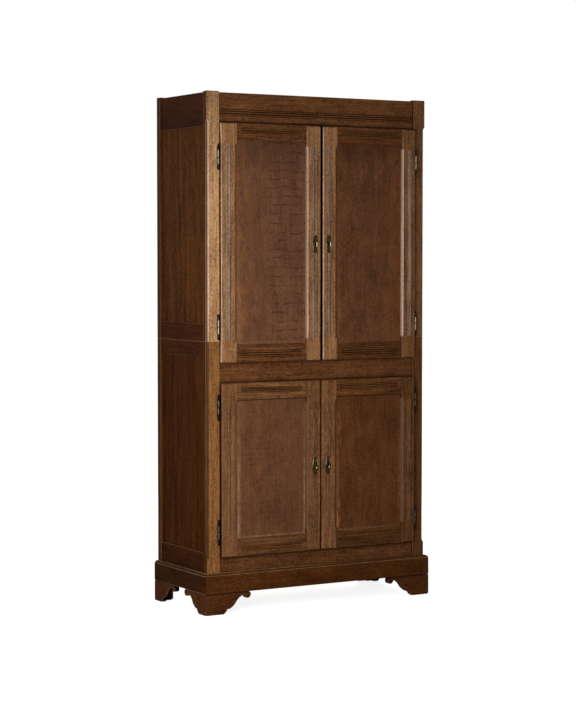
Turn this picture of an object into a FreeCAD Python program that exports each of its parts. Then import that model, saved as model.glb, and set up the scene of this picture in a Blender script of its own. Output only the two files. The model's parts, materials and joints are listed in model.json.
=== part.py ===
import FreeCAD, Part
import Sketcher
import math
import os
import re

# A four-door oak linen press in three stacked sections: a plinth on bracket feet, a lower
# carcass and an upper carcass. Millimetres. X runs along the width, +Y towards the back and
# +Z up. The origin lies on the floor, midway between the sides and between front and back.

doc = FreeCAD.newDocument("linen_press")

# ---------------------------------------------------------------- driving dimensions

SIZES = (
    ("carcass_width", 1046),
    ("carcass_depth", 440),
    ("foot_height", 84),
    ("plinth_height", 84),
    ("lower_height", 932),
    ("upper_height", 1000),
    ("post_width", 57),
    ("post_depth", 30),
    ("post_proud", 4),
    ("post_chamfer", 11),
    ("post_chamfer_low", 54),
    ("post_chamfer_high", 112),
    ("post_top_bevel", 2),
    ("chamfer_run_out", 14),
    ("rail_thickness", 22),
    ("rail_setback", 6),
    ("tenon_thickness", 8),
    ("tenon_length", 26),
    ("side_tenon_length", 18),
    ("tenon_shoulder", 10),
    ("mortise_fit", 0.2),
    ("overcut", 1),
    ("side_rail_thickness", 20),
    ("side_rail_setback", 4),
    ("upper_side_top_rail", 135),
    ("upper_side_bottom_rail", 72),
    ("lower_side_top_rail", 62),
    ("lower_side_bottom_rail", 80),
    ("panel_thickness", 8),
    ("groove_depth", 9),
    ("panel_play", 1),
    ("bottom_rail_shown", 63),
    ("middle_rail_shown", 85),
    ("frieze_shown", 122),
    ("seam_cover", 84),
    ("door_lap", 20),
    ("door_thickness", 22),
    ("door_rest_gap", 0.3),
    ("door_side_gap", 1.5),
    ("meeting_gap", 6),
    ("upper_right_gap", 3),
    ("upper_right_chamfer", 8),
    ("left_hinge_stile", 70),
    ("left_meeting_stile", 66),
    ("right_hinge_stile", 66),
    ("right_meeting_stile", 73),
    ("door_top_rail", 67),
    ("door_bottom_rail", 72),
    ("door_rail_recess", 3),
    ("door_panel_recess", 11),
    ("door_tenon_length", 34),
    ("stile_chamfer", 9),
    ("stile_chamfer_stop", 10),
    ("stile_end_chamfer", 4),
    ("stile_end_margin", 14),
    ("reed_pitch", 6.6),
    ("reed_sink", 2.1),
    ("left_hinge_reeds", 31),
    ("left_meeting_reeds", 24),
    ("right_hinge_reeds", 26),
    ("right_meeting_reeds", 32),
    ("stile_reed_margin", 20),
    ("upper_top_reed_pitch", 7.4),
    ("upper_bottom_reed_pitch", 9),
    ("lower_top_reed_pitch", 7.2),
    ("lower_bottom_reed_pitch", 7.2),
    ("rail_reed_margin", 20),
    ("upper_reed_drop", 19),
    ("upper_reed_rise", 18),
    ("lower_reed_drop", 18),
    ("lower_reed_rise", 16),
    ("frieze_reed_pitch", 9),
    ("frieze_reed_drop", 65),
    ("plinth_lip", 16.4),
    ("plinth_thickness", 32),
    ("plinth_ovolo", 7),
    ("plinth_fillet", 1.6),
    ("foot_board", 22),
    ("foot_block", 32),
    ("foot_block_gap", 3),
    ("front_toe", 83),
    ("side_toe", 61),
    ("back_toe", 55),
    ("toe_easing", 8),
    ("toe_ovolo_rise", 20),
    ("toe_ovolo_run", 18),
    ("toe_ovolo_sag", 1.5),
    ("toe_step", 9),
    ("cyma_turn_run", 31),
    ("cyma_turn_rise", 27),
    ("cyma_run", 62),
    ("cyma_rise", 52),
    ("cyma_lower_sag", 3),
    ("cyma_upper_sag", 3.2),
    ("scroll_cusp", 7),
    ("scroll_drop", 2),
    ("scroll_width", 29),
    ("scroll_depth", 12),
    ("scroll_return", 5),
    ("scroll_return_sag", 2.4),
    ("board_thickness", 18),
    ("board_gap", 0.3),
    ("shelf_thickness", 18),
    ("shelf_front_gap", 1.5),
    ("cleat_width", 20),
    ("cleat_height", 26),
    ("back_board_thickness", 10),
    ("back_board_inset", 2),
    ("back_rebate", 10),
    ("back_tongue", 5),
    ("back_tongue_thickness", 4),
    ("hinge_radius", 5.5),
    ("hinge_pin_radius", 3),
    ("hinge_pin_fit", 0.08),
    ("hinge_axis_out", 10),
    ("hinge_axis_front", 7),
    ("hinge_knuckle", 30),
    ("hinge_knuckle_gap", 0.4),
    ("hinge_finial", 22.5),
    ("hinge_finial_radius", 4.8),
    ("hinge_finial_shoulder", 3.6),
    ("hinge_finial_crown", 2.8),
    ("hinge_pin_short", 1),
    ("hinge_leaf_thickness", 2.4),
    ("hinge_leaf_length", 30),
    ("hinge_leaf_root", 1),
    ("upper_hinge_drop", 137),
    ("upper_hinge_rise", 142),
    ("lower_hinge_drop", 96),
    ("lower_hinge_rise", 100),
    ("escutcheon_height", 71),
    ("escutcheon_width", 27),
    ("escutcheon_neck", 5),
    ("escutcheon_neck_rise", 30),
    ("escutcheon_waist", 9),
    ("escutcheon_waist_rise", 19),
    ("escutcheon_plate", 1.4),
    ("escutcheon_boss", 2.2),
    ("boss_half_width", 6.5),
    ("boss_half_height", 9),
    ("boss_side_sag", 1.5),
    ("boss_end_sag", 5),
    ("keyhole_half_slot", 1.5),
    ("keyhole_slot", 9),
    ("keyhole_eye", 6),
    ("upper_escutcheon_rise", 476),
    ("lower_escutcheon_rise", 347),
    ("lock_height", 62),
    ("lock_width", 46),
    ("lock_depth", 12),
    ("lock_bolt_height", 20),
    ("lock_bolt_depth", 6),
    ("lock_bolt_hold", 15),
    ("lock_throw", 25),
    ("lock_fit", 0.3),
    ("lock_flange", 3),
    ("lock_flange_thickness", 2),
    ("bolt_plate_height", 92),
    ("bolt_plate_width", 24),
    ("bolt_plate_thickness", 2),
    ("bolt_staple_height", 12),
    ("bolt_staple_size", 13),
    ("bolt_bar_width", 9),
    ("bolt_bar_thickness", 5),
    ("bolt_bar_fit", 0.1),
    ("bolt_throw", 16),
    ("bolt_setback", 3),
    ("bolt_bar_tail", 8),
    ("bolt_knob_radius", 4),
    ("bolt_knob_length", 8),
    ("bolt_knob_rise", 22),
)

UPPER_SHELVES = 3
LOWER_SHELVES = 2
BACK_BOARDS = 7
REEDS = 3

sheet = doc.addObject("Spreadsheet::Sheet", "Sizes")
for row, (alias, size) in enumerate(SIZES, start=1):
    sheet.set(f"A{row}", alias.replace("_", " "))
    sheet.set(f"B{row}", str(size))
    sheet.setAlias(f"B{row}", alias)
doc.recompute()

# Places that follow from the driving dimensions, named once and spelled out on use.
PLACES = {
    "half_width": "carcass_width / 2",
    "front_reach": "door_thickness - rail_setback + door_rest_gap + escutcheon_plate + escutcheon_boss",
    "front_y": "(front_reach - carcass_depth) / 2",
    "back_y": "(front_reach + carcass_depth) / 2",
    "post_inside": "half_width - post_width",
    "plinth_z": "foot_height",
    "base_z": "foot_height + plinth_height",
    "seam_z": "base_z + lower_height",
    "post_top_z": "seam_z + upper_height",
    "rail_top_z": "post_top_z - post_proud",
    "rail_front": "front_y + rail_setback",
    "rail_back": "rail_front + rail_thickness",
    "tenon_front": "rail_front + (rail_thickness - tenon_thickness) / 2",
    "tenon_back": "tenon_front + tenon_thickness",
    "front_post_back": "front_y + post_depth",
    "back_post_front": "back_y - post_depth",
    "side_rail_out": "half_width - side_rail_setback",
    "side_rail_in": "side_rail_out - side_rail_thickness",
    "side_panel_out": "side_rail_out - (side_rail_thickness - panel_thickness) / 2",
    "side_panel_in": "side_panel_out - panel_thickness",
    "door_back": "rail_front - door_rest_gap",
    "door_front": "door_back - door_thickness",
    "door_rail_front": "door_front + door_rail_recess",
    "door_panel_front": "door_front + door_panel_recess",
    "door_panel_back": "door_panel_front + panel_thickness",
    "door_outside": "post_inside - door_side_gap",
    "door_inside": "meeting_gap / 2",
    "hinge_x": "door_outside + hinge_axis_out",
    "hinge_y": "front_y - hinge_axis_front",
    "lower_door_low": "base_z + bottom_rail_shown",
    "lower_door_high": "seam_z - seam_cover - middle_rail_shown",
    "upper_door_low": "seam_z - seam_cover",
    "upper_door_high": "rail_top_z - frieze_shown",
    "bottom_rail_top": "lower_door_low + door_lap",
    "middle_rail_low": "lower_door_high - door_lap",
    "frieze_low": "upper_door_high - door_lap",
    "back_board_back": "back_y - back_board_inset",
    "back_board_front": "back_board_back - back_board_thickness",
    "back_board_edge": "post_inside + back_rebate - board_gap",
    "back_board_width": "2 * back_board_edge / %d" % BACK_BOARDS,
    "shelf_front": "rail_back + shelf_front_gap",
    "shelf_edge": "side_rail_in - board_gap",
    "upper_floor_top": "seam_z + board_thickness",
    "upper_roof_low": "rail_top_z - board_thickness",
    "lower_floor_top": "bottom_rail_top",
    "lower_roof_low": "seam_z - board_thickness",
    "plinth_edge": "half_width + plinth_lip",
    "plinth_front_y": "front_y - plinth_lip",
    "lock_bolt_front": "door_back + (lock_depth - lock_bolt_depth) / 2",
    "lock_bolt_length": "lock_throw + lock_bolt_hold",
    "bolt_y": "door_back + bolt_plate_thickness + bolt_staple_size / 2",
    "bolt_x": "door_inside + left_meeting_stile / 2",
}
ALIASES = {alias for alias, size in SIZES}
BOLT_X = ("-bolt_x - bolt_bar_width / 2", "-bolt_x + bolt_bar_width / 2")
BOLT_Y = ("bolt_y - bolt_bar_thickness / 2", "bolt_y + bolt_bar_thickness / 2")


def spell(text):
    """Turn an expression written in plain names into one that reads the sheet."""
    def one(match):
        word = match.group(0)
        if word in PLACES:
            return "(" + spell(PLACES[word]) + ")"
        if word in ALIASES:
            return "Sizes." + word
        return word
    return re.sub(r"[a-z_][a-z_0-9]*", one, str(text))


def value(text):
    """The present value of an expression, in millimetres."""
    result = sheet.evalExpression(spell(text))
    return float(getattr(result, "Value", result))


# ---------------------------------------------------------------- ways of making a piece

def place(thing, x="0", y="0", z="0", axis=None, angle=None):
    """Tie the placement of an object to expressions, with a turn about one axis."""
    if axis is not None:
        thing.Placement = FreeCAD.Placement(FreeCAD.Vector(), FreeCAD.Rotation(FreeCAD.Vector(*axis), angle))
    for letter, text in zip("xyz", (x, y, z)):
        thing.setExpression(f"Placement.Base.{letter}", spell(text))
    return thing


def box(name, x, y, z):
    """A squared board: a (low, high) pair of expressions along each axis."""
    board = doc.addObject("Part::Box", name)
    for side, (low, high) in zip(("Length", "Width", "Height"), (x, y, z)):
        board.setExpression(side, spell(f"({high}) - ({low})"))
    return place(board, x[0], y[0], z[0])


def cylinder(name, radius, length, x, y, z, axis=None, angle=None):
    rod = doc.addObject("Part::Cylinder", name)
    rod.setExpression("Radius", spell(radius))
    rod.setExpression("Height", spell(length))
    return place(rod, x, y, z, axis, angle)


def fuse(name, pieces):
    if len(pieces) == 1:
        return pieces[0]
    whole = doc.addObject("Part::MultiFuse", name)
    whole.Shapes = pieces
    return whole


def cut(name, blank, tools):
    left = doc.addObject("Part::Cut", name)
    left.Base = blank
    left.Tool = fuse(name + "_tools", tools)
    return left


def group(name, pieces):
    """Like pieces kept as separate solids of one node."""
    bundle = doc.addObject("Part::Compound", name)
    bundle.Links = pieces
    return bundle


def mirror(name, piece):
    """The same piece for the other side of the press."""
    twin = doc.addObject("Part::Mirroring", name)
    twin.Source = piece
    twin.Normal = (1, 0, 0)
    return twin


def both_sides(name, pieces):
    return group(name, pieces + [mirror(f"{name}_right_{i}", piece) for i, piece in enumerate(pieces)])


def plane(body, role):
    return next(item for item in body.Origin.OriginFeatures if item.Role == role)


def draw(body, name, role, outline):
    """A closed sketch whose corners are tied to expressions.

    Each entry of outline is (u, v) for a straight side to the next corner, or
    (u, v, sag, bulge) for an arc to it that swells by sag to the left (1) or right (-1)."""
    sketch = body.newObject("Sketcher::SketchObject", name)
    sketch.AttachmentSupport = (plane(body, role), [""])
    sketch.MapMode = "FlatFace"
    corners = [FreeCAD.Vector(value(entry[0]), value(entry[1]), 0) for entry in outline]
    starts = []
    for i, entry in enumerate(outline):
        a, b = corners[i], corners[(i + 1) % len(corners)]
        if len(entry) == 2:
            sketch.addGeometry(Part.LineSegment(a, b), False)
            starts.append(1)
            continue
        way = FreeCAD.Vector(b - a).normalize()
        crown = (a + b) * 0.5 + FreeCAD.Vector(-way.y, way.x, 0) * (entry[3] * value(entry[2]))
        round_through = Part.Arc(a, crown, b).toShape().Curve
        centre = round_through.Center
        ends = [math.atan2(point.y - centre.y, point.x - centre.x) for point in (a, b)]
        if entry[3] > 0:
            ends.reverse()
        circle = Part.Circle(centre, FreeCAD.Vector(0, 0, 1), round_through.Radius)
        sketch.addGeometry(Part.ArcOfCircle(circle, *ends), False)
        starts.append(2 if entry[3] > 0 else 1)
    for i, entry in enumerate(outline):
        after = (i + 1) % len(outline)
        sketch.addConstraint(Sketcher.Constraint("Coincident", i, 3 - starts[i], after, starts[after]))
        for kind, text in (("DistanceX", entry[0]), ("DistanceY", entry[1])):
            tie(sketch, text, kind, -1, 1, i, starts[i])
        if len(entry) > 2:
            u, v = (f"(({outline[after][k]}) - ({entry[k]}))" for k in (0, 1))
            tie(sketch, f"({u} ^ 2 + {v} ^ 2) / (8 * ({entry[2]})) + ({entry[2]}) / 2", "Radius", i)
    return sketch


def tie(sketch, text, kind, *elements):
    """Add a constraint to a sketch and bind its value to an expression."""
    index = sketch.addConstraint(Sketcher.Constraint(kind, *elements, value(text)))
    sketch.setExpression(f"Constraints[{index}]", spell(text))


def new_body(name):
    body = doc.addObject("PartDesign::Body", name)
    doc.recompute()
    return body


def pad(body, sketch, length, backwards):
    feature = body.newObject("PartDesign::Pad", sketch.Name + "_pad")
    feature.Profile = sketch
    feature.Reversed = backwards
    feature.setExpression("Length", spell(length))
    body.Tip = feature
    return feature


def pocket(body, sketch):
    """Cut a sketch right through a body."""
    feature = body.newObject("PartDesign::Pocket", sketch.Name + "_pocket")
    feature.Profile = sketch
    feature.Type = "ThroughAll"
    feature.Midplane = True
    body.Tip = feature
    return feature


def revolve(body, sketch):
    """Turn a profile about the upright axis of its sketch."""
    feature = body.newObject("PartDesign::Revolution", sketch.Name + "_turned")
    feature.Profile = sketch
    feature.ReferenceAxis = (sketch, ["V_Axis"])
    feature.Angle = 360
    body.Tip = feature
    return feature


PIECES = []


def piece(name, thing):
    """Mark an object as a finished piece of the press."""
    thing.Label = name
    PIECES.append(thing)
    return thing


def reeding(name, low, high, front, pitch, along):
    """A cutter that leaves a sunk band of round reeds with their crowns flush to the front.

    low and high are the (across, along) corners of the band; along is "x" or "z"."""
    (a0, b0), (a1, b1) = low, high
    sunk = (f"({front}) - reed_sink", f"({front}) + reed_sink")
    length = f"({b1}) - ({b0})"
    depth = f"({front}) + {pitch} / 2"
    band = box(name + "_band", (a0, a1), sunk, (b0, b1)) if along == "z" else \
        box(name + "_band", (b0, b1), sunk, (a0, a1))
    reeds = []
    for i in range(REEDS):
        middle = f"({a0}) + {pitch} * {i + 0.5}"
        spot = (middle, depth, b0) if along == "z" else (b0, depth, middle, (0, 1, 0), 90)
        reeds.append(cylinder(f"{name}_reed_{i}", f"{pitch} / 2", length, *spot))
    return cut(name, band, reeds)


def stopped_chamfer(name, size, x, y, low, high, angle, stops=(True, True)):
    """A cutter for a chamfer along an upright edge at (x, y) whose ends sweep out in a curve.

    angle is the compass direction, from +X towards +Y, that the chamfer faces."""
    radius = "chamfer_run_out"
    length = f"({high}) - ({low})"
    rise = [radius if stop else "0" for stop in stops]
    parts = [box(name + "_flat", ("0", size), (f"-{size}", size), (rise[0], f"{length} - {rise[1]}"))]
    for i, (stop, height) in enumerate(zip(stops, (radius, f"{length} - {radius}"))):
        if stop:
            spot = (radius, size, height, (1, 0, 0), 90)
            parts.append(cylinder(f"{name}_stop_{i}", radius, f"2 * {size}", *spot))
    turned = group(name, [fuse(name + "_cutter", parts)])
    inward = FreeCAD.Rotation(FreeCAD.Vector(0, 0, 1), angle).multVec(FreeCAD.Vector(-1, 0, 0))
    x_in, y_in = (f"({round(step * 2 ** 0.5)}) * {size} / 2" for step in (inward.x, inward.y))
    return place(turned, f"({x}) + {x_in}", f"({y}) + {y_in}", low, (0, 0, 1), angle)


def bevel(name, blank, size, level):
    """Bevel the edges of a board that lie at one height."""
    doc.recompute()
    feature = doc.addObject("Part::Chamfer", name)
    feature.Base = blank
    height = value(level)
    feature.Edges = [(i, value(size), value(size)) for i, edge in enumerate(blank.Shape.Edges, start=1)
                     if all(abs(corner.Z - height) < 1e-6 for corner in edge.Vertexes)]
    return feature


def tenoned_rail(name, x, y, z, tenon_x, tenon_y):
    """A rail with one tenon board running right through it and out at both ends."""
    rail = box(name + "_board", x, y, z)
    shouldered = (f"({z[0]}) + tenon_shoulder", f"({z[1]}) - tenon_shoulder")
    return fuse(name + "_tenoned", [rail, box(name + "_tenon", tenon_x, tenon_y, shouldered)])


def eased(pair, clearance="mortise_fit"):
    """A (low, high) pair with clearance added at both ends."""
    return (f"({pair[0]}) - ({clearance})", f"({pair[1]}) + ({clearance})")


# ---------------------------------------------------------------- heights of the joinery

LOWER_SIDE = ("lower", "base_z", "seam_z", "lower_side_bottom_rail", "lower_side_top_rail", "seam_z")
UPPER_SIDE = ("upper", "seam_z", "post_top_z", "upper_side_bottom_rail", "upper_side_top_rail", "rail_top_z")
BOTTOM_RAIL = ("base_z", "bottom_rail_top")
MIDDLE_RAIL = ("middle_rail_low", "seam_z")
FRIEZE = ("frieze_low", "rail_top_z")
FRONT_RAILS = {"lower": (BOTTOM_RAIL, MIDDLE_RAIL), "upper": (FRIEZE,)}
DOOR_ENDS = {"lower": ("lower_door_low", "lower_door_high"), "upper": ("upper_door_low", "upper_door_high")}
HINGES = {
    "lower": ("lower_door_low + lower_hinge_rise", "lower_door_high - lower_hinge_drop"),
    "upper": ("upper_door_low + upper_hinge_rise", "upper_door_high - upper_hinge_drop"),
}
SIDE_TENON = ("-side_panel_out", "-side_panel_in")


# ---------------------------------------------------------------- side frames

def side_frame(floor, low, high, bottom_rail, top_rail, rail_top):
    """Posts, rails and panel of the left side; the right side is their mirror image."""
    rails = ((low, f"({low}) + {bottom_rail}"), (f"({rail_top}) - {top_rail}", rail_top))
    opening = (rails[0][1], rails[1][0])
    grooved = (f"({opening[0]}) - groove_depth", f"({opening[1]}) + groove_depth")
    posts = {
        "front": ("front_y", "front_post_back"),
        "back": ("back_post_front", "back_y"),
    }
    sockets = {
        "front": [("front_post_back - side_tenon_length", "front_post_back + overcut"),
                  ("front_post_back - groove_depth", "front_post_back + overcut")],
        "back": [("back_post_front - overcut", "back_post_front + side_tenon_length"),
                 ("back_post_front - overcut", "back_post_front + groove_depth")],
    }
    for end, depth in posts.items():
        name = f"{floor}_{end}_post"
        blank = box(name + "_blank", ("-half_width", "-post_inside"), depth, (low, high))
        if floor == "upper":
            blank = bevel(name + "_bevelled", blank, "post_top_bevel", high)
        tools = [box(f"{name}_groove", eased(SIDE_TENON), sockets[end][1], grooved)]
        for i, rail in enumerate(rails):
            tall = (f"({rail[0]}) + tenon_shoulder", f"({rail[1]}) - tenon_shoulder")
            tools.append(box(f"{name}_mortise_{i}", eased(SIDE_TENON), sockets[end][0], eased(tall)))
        if end == "front":
            tools += front_post_tools(name, floor, low, high)
            left = cut(name + "_left", blank, tools)
            piece(name + "_left", left)
            piece(name + "_right", group(name + "_right", [mirror(name + "_mirror", left)]))
        else:
            tools.append(box(f"{name}_rebate", ("-back_board_edge - board_gap", "-post_inside + overcut"),
                             ("back_board_front", "back_y + overcut"), eased((low, high), "overcut")))
            piece(name + "s", both_sides(name + "s", [cut(name + "_cut", blank, tools)]))
    boards = []
    for i, rail in enumerate(rails):
        tenon_y = ("front_post_back - side_tenon_length + panel_play",
                   "back_post_front + side_tenon_length - panel_play")
        board = tenoned_rail(f"{floor}_side_rail_{i}", ("-side_rail_out", "-side_rail_in"),
                             ("front_post_back", "back_post_front"), rail, SIDE_TENON, tenon_y)
        edge = (f"({rail[1]}) - groove_depth", f"({rail[1]}) + overcut") if i == 0 else \
            (f"({rail[0]}) - overcut", f"({rail[0]}) + groove_depth")
        groove = box(f"{floor}_side_groove_{i}", eased(SIDE_TENON),
                     ("front_post_back - tenon_length", "back_post_front + tenon_length"), edge)
        boards.append(cut(f"{floor}_side_rail_cut_{i}", board, [groove]))
    piece(f"{floor}_side_rails", both_sides(f"{floor}_side_rails", boards))
    panel_y = ("front_post_back - groove_depth + panel_play", "back_post_front + groove_depth - panel_play")
    panel = box(f"{floor}_side_panel", SIDE_TENON, panel_y,
                (f"({grooved[0]}) + panel_play", f"({grooved[1]}) - panel_play"))
    piece(f"{floor}_side_panels", both_sides(f"{floor}_side_panels", [panel]))


def front_post_tools(name, floor, low, high):
    """Front rail mortises, hinge slots and the stopped chamfer of a left front post."""
    tools = []
    for i, rail in enumerate(FRONT_RAILS[floor]):
        tall = (f"({rail[0]}) + tenon_shoulder", f"({rail[1]}) - tenon_shoulder")
        tools.append(box(f"{name}_rail_mortise_{i}",
                         ("-post_inside - tenon_length", "-post_inside + overcut"),
                         eased(("tenon_front", "tenon_back")), eased(tall)))
    for i, middle in enumerate(HINGES[floor]):
        tools.append(box(f"{name}_hinge_slot_{i}", eased(("-hinge_x - hinge_leaf_thickness / 2",
                                                         "-hinge_x + hinge_leaf_thickness / 2")),
                         ("front_y - overcut", "hinge_y + hinge_leaf_length + mortise_fit"),
                         eased((f"{middle} - hinge_knuckle", f"{middle} - hinge_knuckle_gap / 2"))))
    stops = (floor == "lower", floor == "upper")
    run = (f"({low}) + post_chamfer_low", f"({high}) + overcut") if stops[0] else \
        (f"({low}) - overcut", f"({high}) - post_chamfer_high")
    tools.append(stopped_chamfer(name + "_chamfer", "post_chamfer", "-half_width", "front_y", *run,
                                 225, stops))
    return tools


side_frame(*LOWER_SIDE)
side_frame(*UPPER_SIDE)


# ---------------------------------------------------------------- front rails

def bolt_socket(name, low):
    """A cutter for the hole that a door bolt shoots into."""
    return box(name, eased(BOLT_X, "bolt_bar_fit"), eased(BOLT_Y, "bolt_bar_fit"),
               (low, f"{low} + bolt_throw + overcut"))


def front_rail(name, rail, socket_low, reeds=None):
    """A rail between the front posts, with a socket for a door bolt in its inner edge."""
    tenon_x = ("-post_inside - tenon_length + panel_play", "post_inside + tenon_length - panel_play")
    board = tenoned_rail(name, ("-post_inside", "post_inside"), ("rail_front", "rail_back"), rail,
                         tenon_x, ("tenon_front", "tenon_back"))
    tools = [bolt_socket(name + "_bolt_socket", socket_low)]
    if reeds:
        tools.append(reeds)
    piece(name, cut(name, board, tools))


front_rail("bottom_rail", BOTTOM_RAIL, "bottom_rail_top - bolt_throw")
front_rail("middle_rail", MIDDLE_RAIL, "middle_rail_low - overcut")
frieze_band = reeding("frieze_reeding", ("rail_top_z - frieze_reed_drop - frieze_reed_pitch * %d" % REEDS,
                                         "-post_inside - overcut"),
                      ("rail_top_z - frieze_reed_drop", "post_inside + overcut"),
                      "rail_front", "frieze_reed_pitch", "x")
front_rail("frieze_rail", FRIEZE, "frieze_low - overcut", frieze_band)


# ---------------------------------------------------------------- boards, shelves and backs

def notched_board(name, front, z, holes=()):
    """A board across the carcass, notched round the four posts."""
    blank = box(name + "_blank", ("-shelf_edge", "shelf_edge"), (front, "back_board_front"), z)
    sides = (("-half_width", "-post_inside + board_gap"), ("post_inside - board_gap", "half_width"))
    ends = (("front_y - overcut", "front_post_back + board_gap"), ("back_post_front - board_gap", "back_y"))
    tools = [box(f"{name}_notch_{i}_{j}", x, y, eased(z, "overcut"))
             for i, x in enumerate(sides) for j, y in enumerate(ends)]
    return cut(name, blank, tools + list(holes))


def cleat_pair(name, under):
    """Battens between the posts that carry a board, whose underside is at the height given."""
    batten = box(name, ("-side_rail_in", "-side_rail_in + cleat_width"),
                 ("front_post_back", "back_post_front"), (f"({under}) - cleat_height", under))
    return [batten, mirror(name + "_right", batten)]


def shelf_tops(count, floor_top, roof_low):
    """Evenly spaced shelf tops between a floor and a roof."""
    bay = f"(({roof_low}) - ({floor_top}) - {count} * shelf_thickness) / {count + 1}"
    return [f"({floor_top}) + {i + 1} * ({bay} + shelf_thickness)" for i in range(count)]


def fit_out(floor, names, fronts, floor_z, roof_z, shelf_count, holes):
    """Floor, roof, shelves and cleats of one carcass."""
    piece(names[0], notched_board(names[0], fronts[0], floor_z, holes))
    piece(names[1], notched_board(names[1], fronts[1], roof_z))
    shelves = []
    cleats = []
    if floor == "lower":
        cleats += cleat_pair("lower_floor_cleat", floor_z[0])
    for i, top in enumerate(shelf_tops(shelf_count, floor_z[1], roof_z[0])):
        under = f"({top}) - shelf_thickness"
        shelves.append(notched_board(f"{floor}_shelf_{i}", "shelf_front", (under, top)))
        cleats += cleat_pair(f"{floor}_shelf_cleat_{i}", under)
    cleats += cleat_pair(f"{floor}_roof_cleat", roof_z[0])
    piece(f"{floor}_shelves", group(f"{floor}_shelves", shelves))
    piece(f"{floor}_cleats", group(f"{floor}_cleats", cleats))


fit_out("lower", ("lower_floor", "lower_roof"), ("rail_back", "rail_back"),
        ("lower_floor_top - board_thickness", "lower_floor_top"), ("lower_roof_low", "seam_z"),
        LOWER_SHELVES, ())
floor_socket = bolt_socket("upper_floor_bolt_socket", "upper_floor_top - bolt_throw")
fit_out("upper", ("upper_floor", "top_board"), ("rail_front", "rail_back"),
        ("seam_z", "upper_floor_top"), ("upper_roof_low", "rail_top_z"), UPPER_SHELVES, [floor_socket])


def back_boards(floor, low, high):
    """Upright tongued and grooved boards in the rebates of the back posts."""
    boards = []
    middle = "(back_board_front + back_board_back) / 2"
    for i in range(BACK_BOARDS):
        name = f"{floor}_back_board_{i}"
        x0, x1 = (f"-back_board_edge + {k} * back_board_width" for k in (i, i + 1))
        blank = box(name + "_blank", (x0, x1), ("back_board_front", "back_board_back"), (low, high))
        thick = (f"{middle} - back_tongue_thickness / 2", f"{middle} + back_tongue_thickness / 2")
        if i + 1 < BACK_BOARDS:
            tongue = box(name + "_tongue", (x1, f"{x1} + back_tongue - mortise_fit"), thick, (low, high))
            blank = fuse(name + "_tongued", [blank, tongue])
        if i > 0:
            groove = box(name + "_groove", (f"({x0}) - overcut", f"({x0}) + back_tongue"),
                         eased(thick, "mortise_fit / 2"), eased((low, high), "overcut"))
            blank = cut(name + "_grooved", blank, [groove])
        boards.append(blank)
    piece(f"{floor}_back_boards", group(f"{floor}_back_boards", boards))


back_boards("lower", "base_z", "seam_z")
back_boards("upper", "seam_z", "rail_top_z")


# ---------------------------------------------------------------- plinth and bracket feet

MOULDED_EDGE = (
    # distance in from the face, height above the underside of the plinth
    ("0", "0"),
    ("plinth_thickness", "0"),
    ("plinth_thickness", "plinth_height"),
    ("plinth_fillet + plinth_ovolo", "plinth_height"),
    ("plinth_fillet + plinth_ovolo", "plinth_height - plinth_fillet", "plinth_ovolo * (1 - sqrt(0.5))", -1),
    ("plinth_fillet", "plinth_height - plinth_fillet - plinth_ovolo"),
    ("0", "plinth_height - plinth_fillet - plinth_ovolo"),
)


def mitre(x, depth, facing):
    """The waste at a mitre: a triangle with one corner at the outside of the joint.

    facing is the direction the waste lies in from that corner: (0, 1), (0, -1) or (1, 0)."""
    deep = f"2 * {depth}"
    if facing[0]:
        return ((x, "0"), (f"({x}) + {deep}", f"-({deep})"), (f"({x}) + {deep}", deep))
    far = f"{facing[1]} * {deep}"
    return ((x, "0"), (f"({x}) + {deep}", far), (f"({x}) - {deep}", far))


def plinth_board(name, role, length, backwards, mitres):
    """A moulded board padded along its length, with the waste of its mitres cut away."""
    body = new_body(name)
    pad(body, draw(body, name + "_section", role, MOULDED_EDGE), length, backwards)
    for i, waste in enumerate(mitres):
        pocket(body, draw(body, f"{name}_mitre_{i}", "XY_Plane", waste))
    return place(body, "-plinth_edge", "plinth_front_y", "plinth_z")


piece("plinth_front", plinth_board("plinth_front", "YZ_Plane", "2 * plinth_edge", False,
                                   (mitre("0", "plinth_thickness", (0, 1)),
                                    mitre("2 * plinth_edge", "plinth_thickness", (0, 1)))))
plinth_side = plinth_board("plinth_side", "XZ_Plane", "carcass_depth + plinth_lip", True,
                           (mitre("0", "plinth_thickness", (1, 0)),))
piece("plinth_sides", both_sides("plinth_sides", [plinth_side]))
piece("plinth_back", box("plinth_back", ("-plinth_edge + plinth_thickness", "plinth_edge - plinth_thickness"),
                         ("back_y - rail_thickness", "back_y"), ("plinth_z", "base_z")))


def bracket_outline(toe):
    """A foot bracket from its corner: toe, ovolo, step, cyma and a scroll under the plinth."""
    step = f"({toe}) + toe_ovolo_run"
    cyma = f"{step} + toe_step"
    scroll = f"{cyma} + cyma_run + scroll_cusp"
    shoulder = "toe_ovolo_rise + cyma_rise"
    return (
        ("toe_easing", "0"),
        (toe, "0", "toe_ovolo_sag", -1),
        (step, "toe_ovolo_rise"),
        (cyma, "toe_ovolo_rise", "cyma_lower_sag", -1),
        (f"{cyma} + cyma_turn_run", "toe_ovolo_rise + cyma_turn_rise", "cyma_upper_sag", 1),
        (f"{cyma} + cyma_run", shoulder),
        (scroll, f"{shoulder} - scroll_drop", "scroll_depth", -1),
        (f"{scroll} + scroll_width", f"{shoulder} - scroll_drop", "scroll_return_sag", -1),
        (f"{scroll} + scroll_width - scroll_return", "foot_height"),
        ("0", "foot_height"),
        ("0", "toe_easing", "toe_easing * (1 - sqrt(0.5))", -1),
    )


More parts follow.
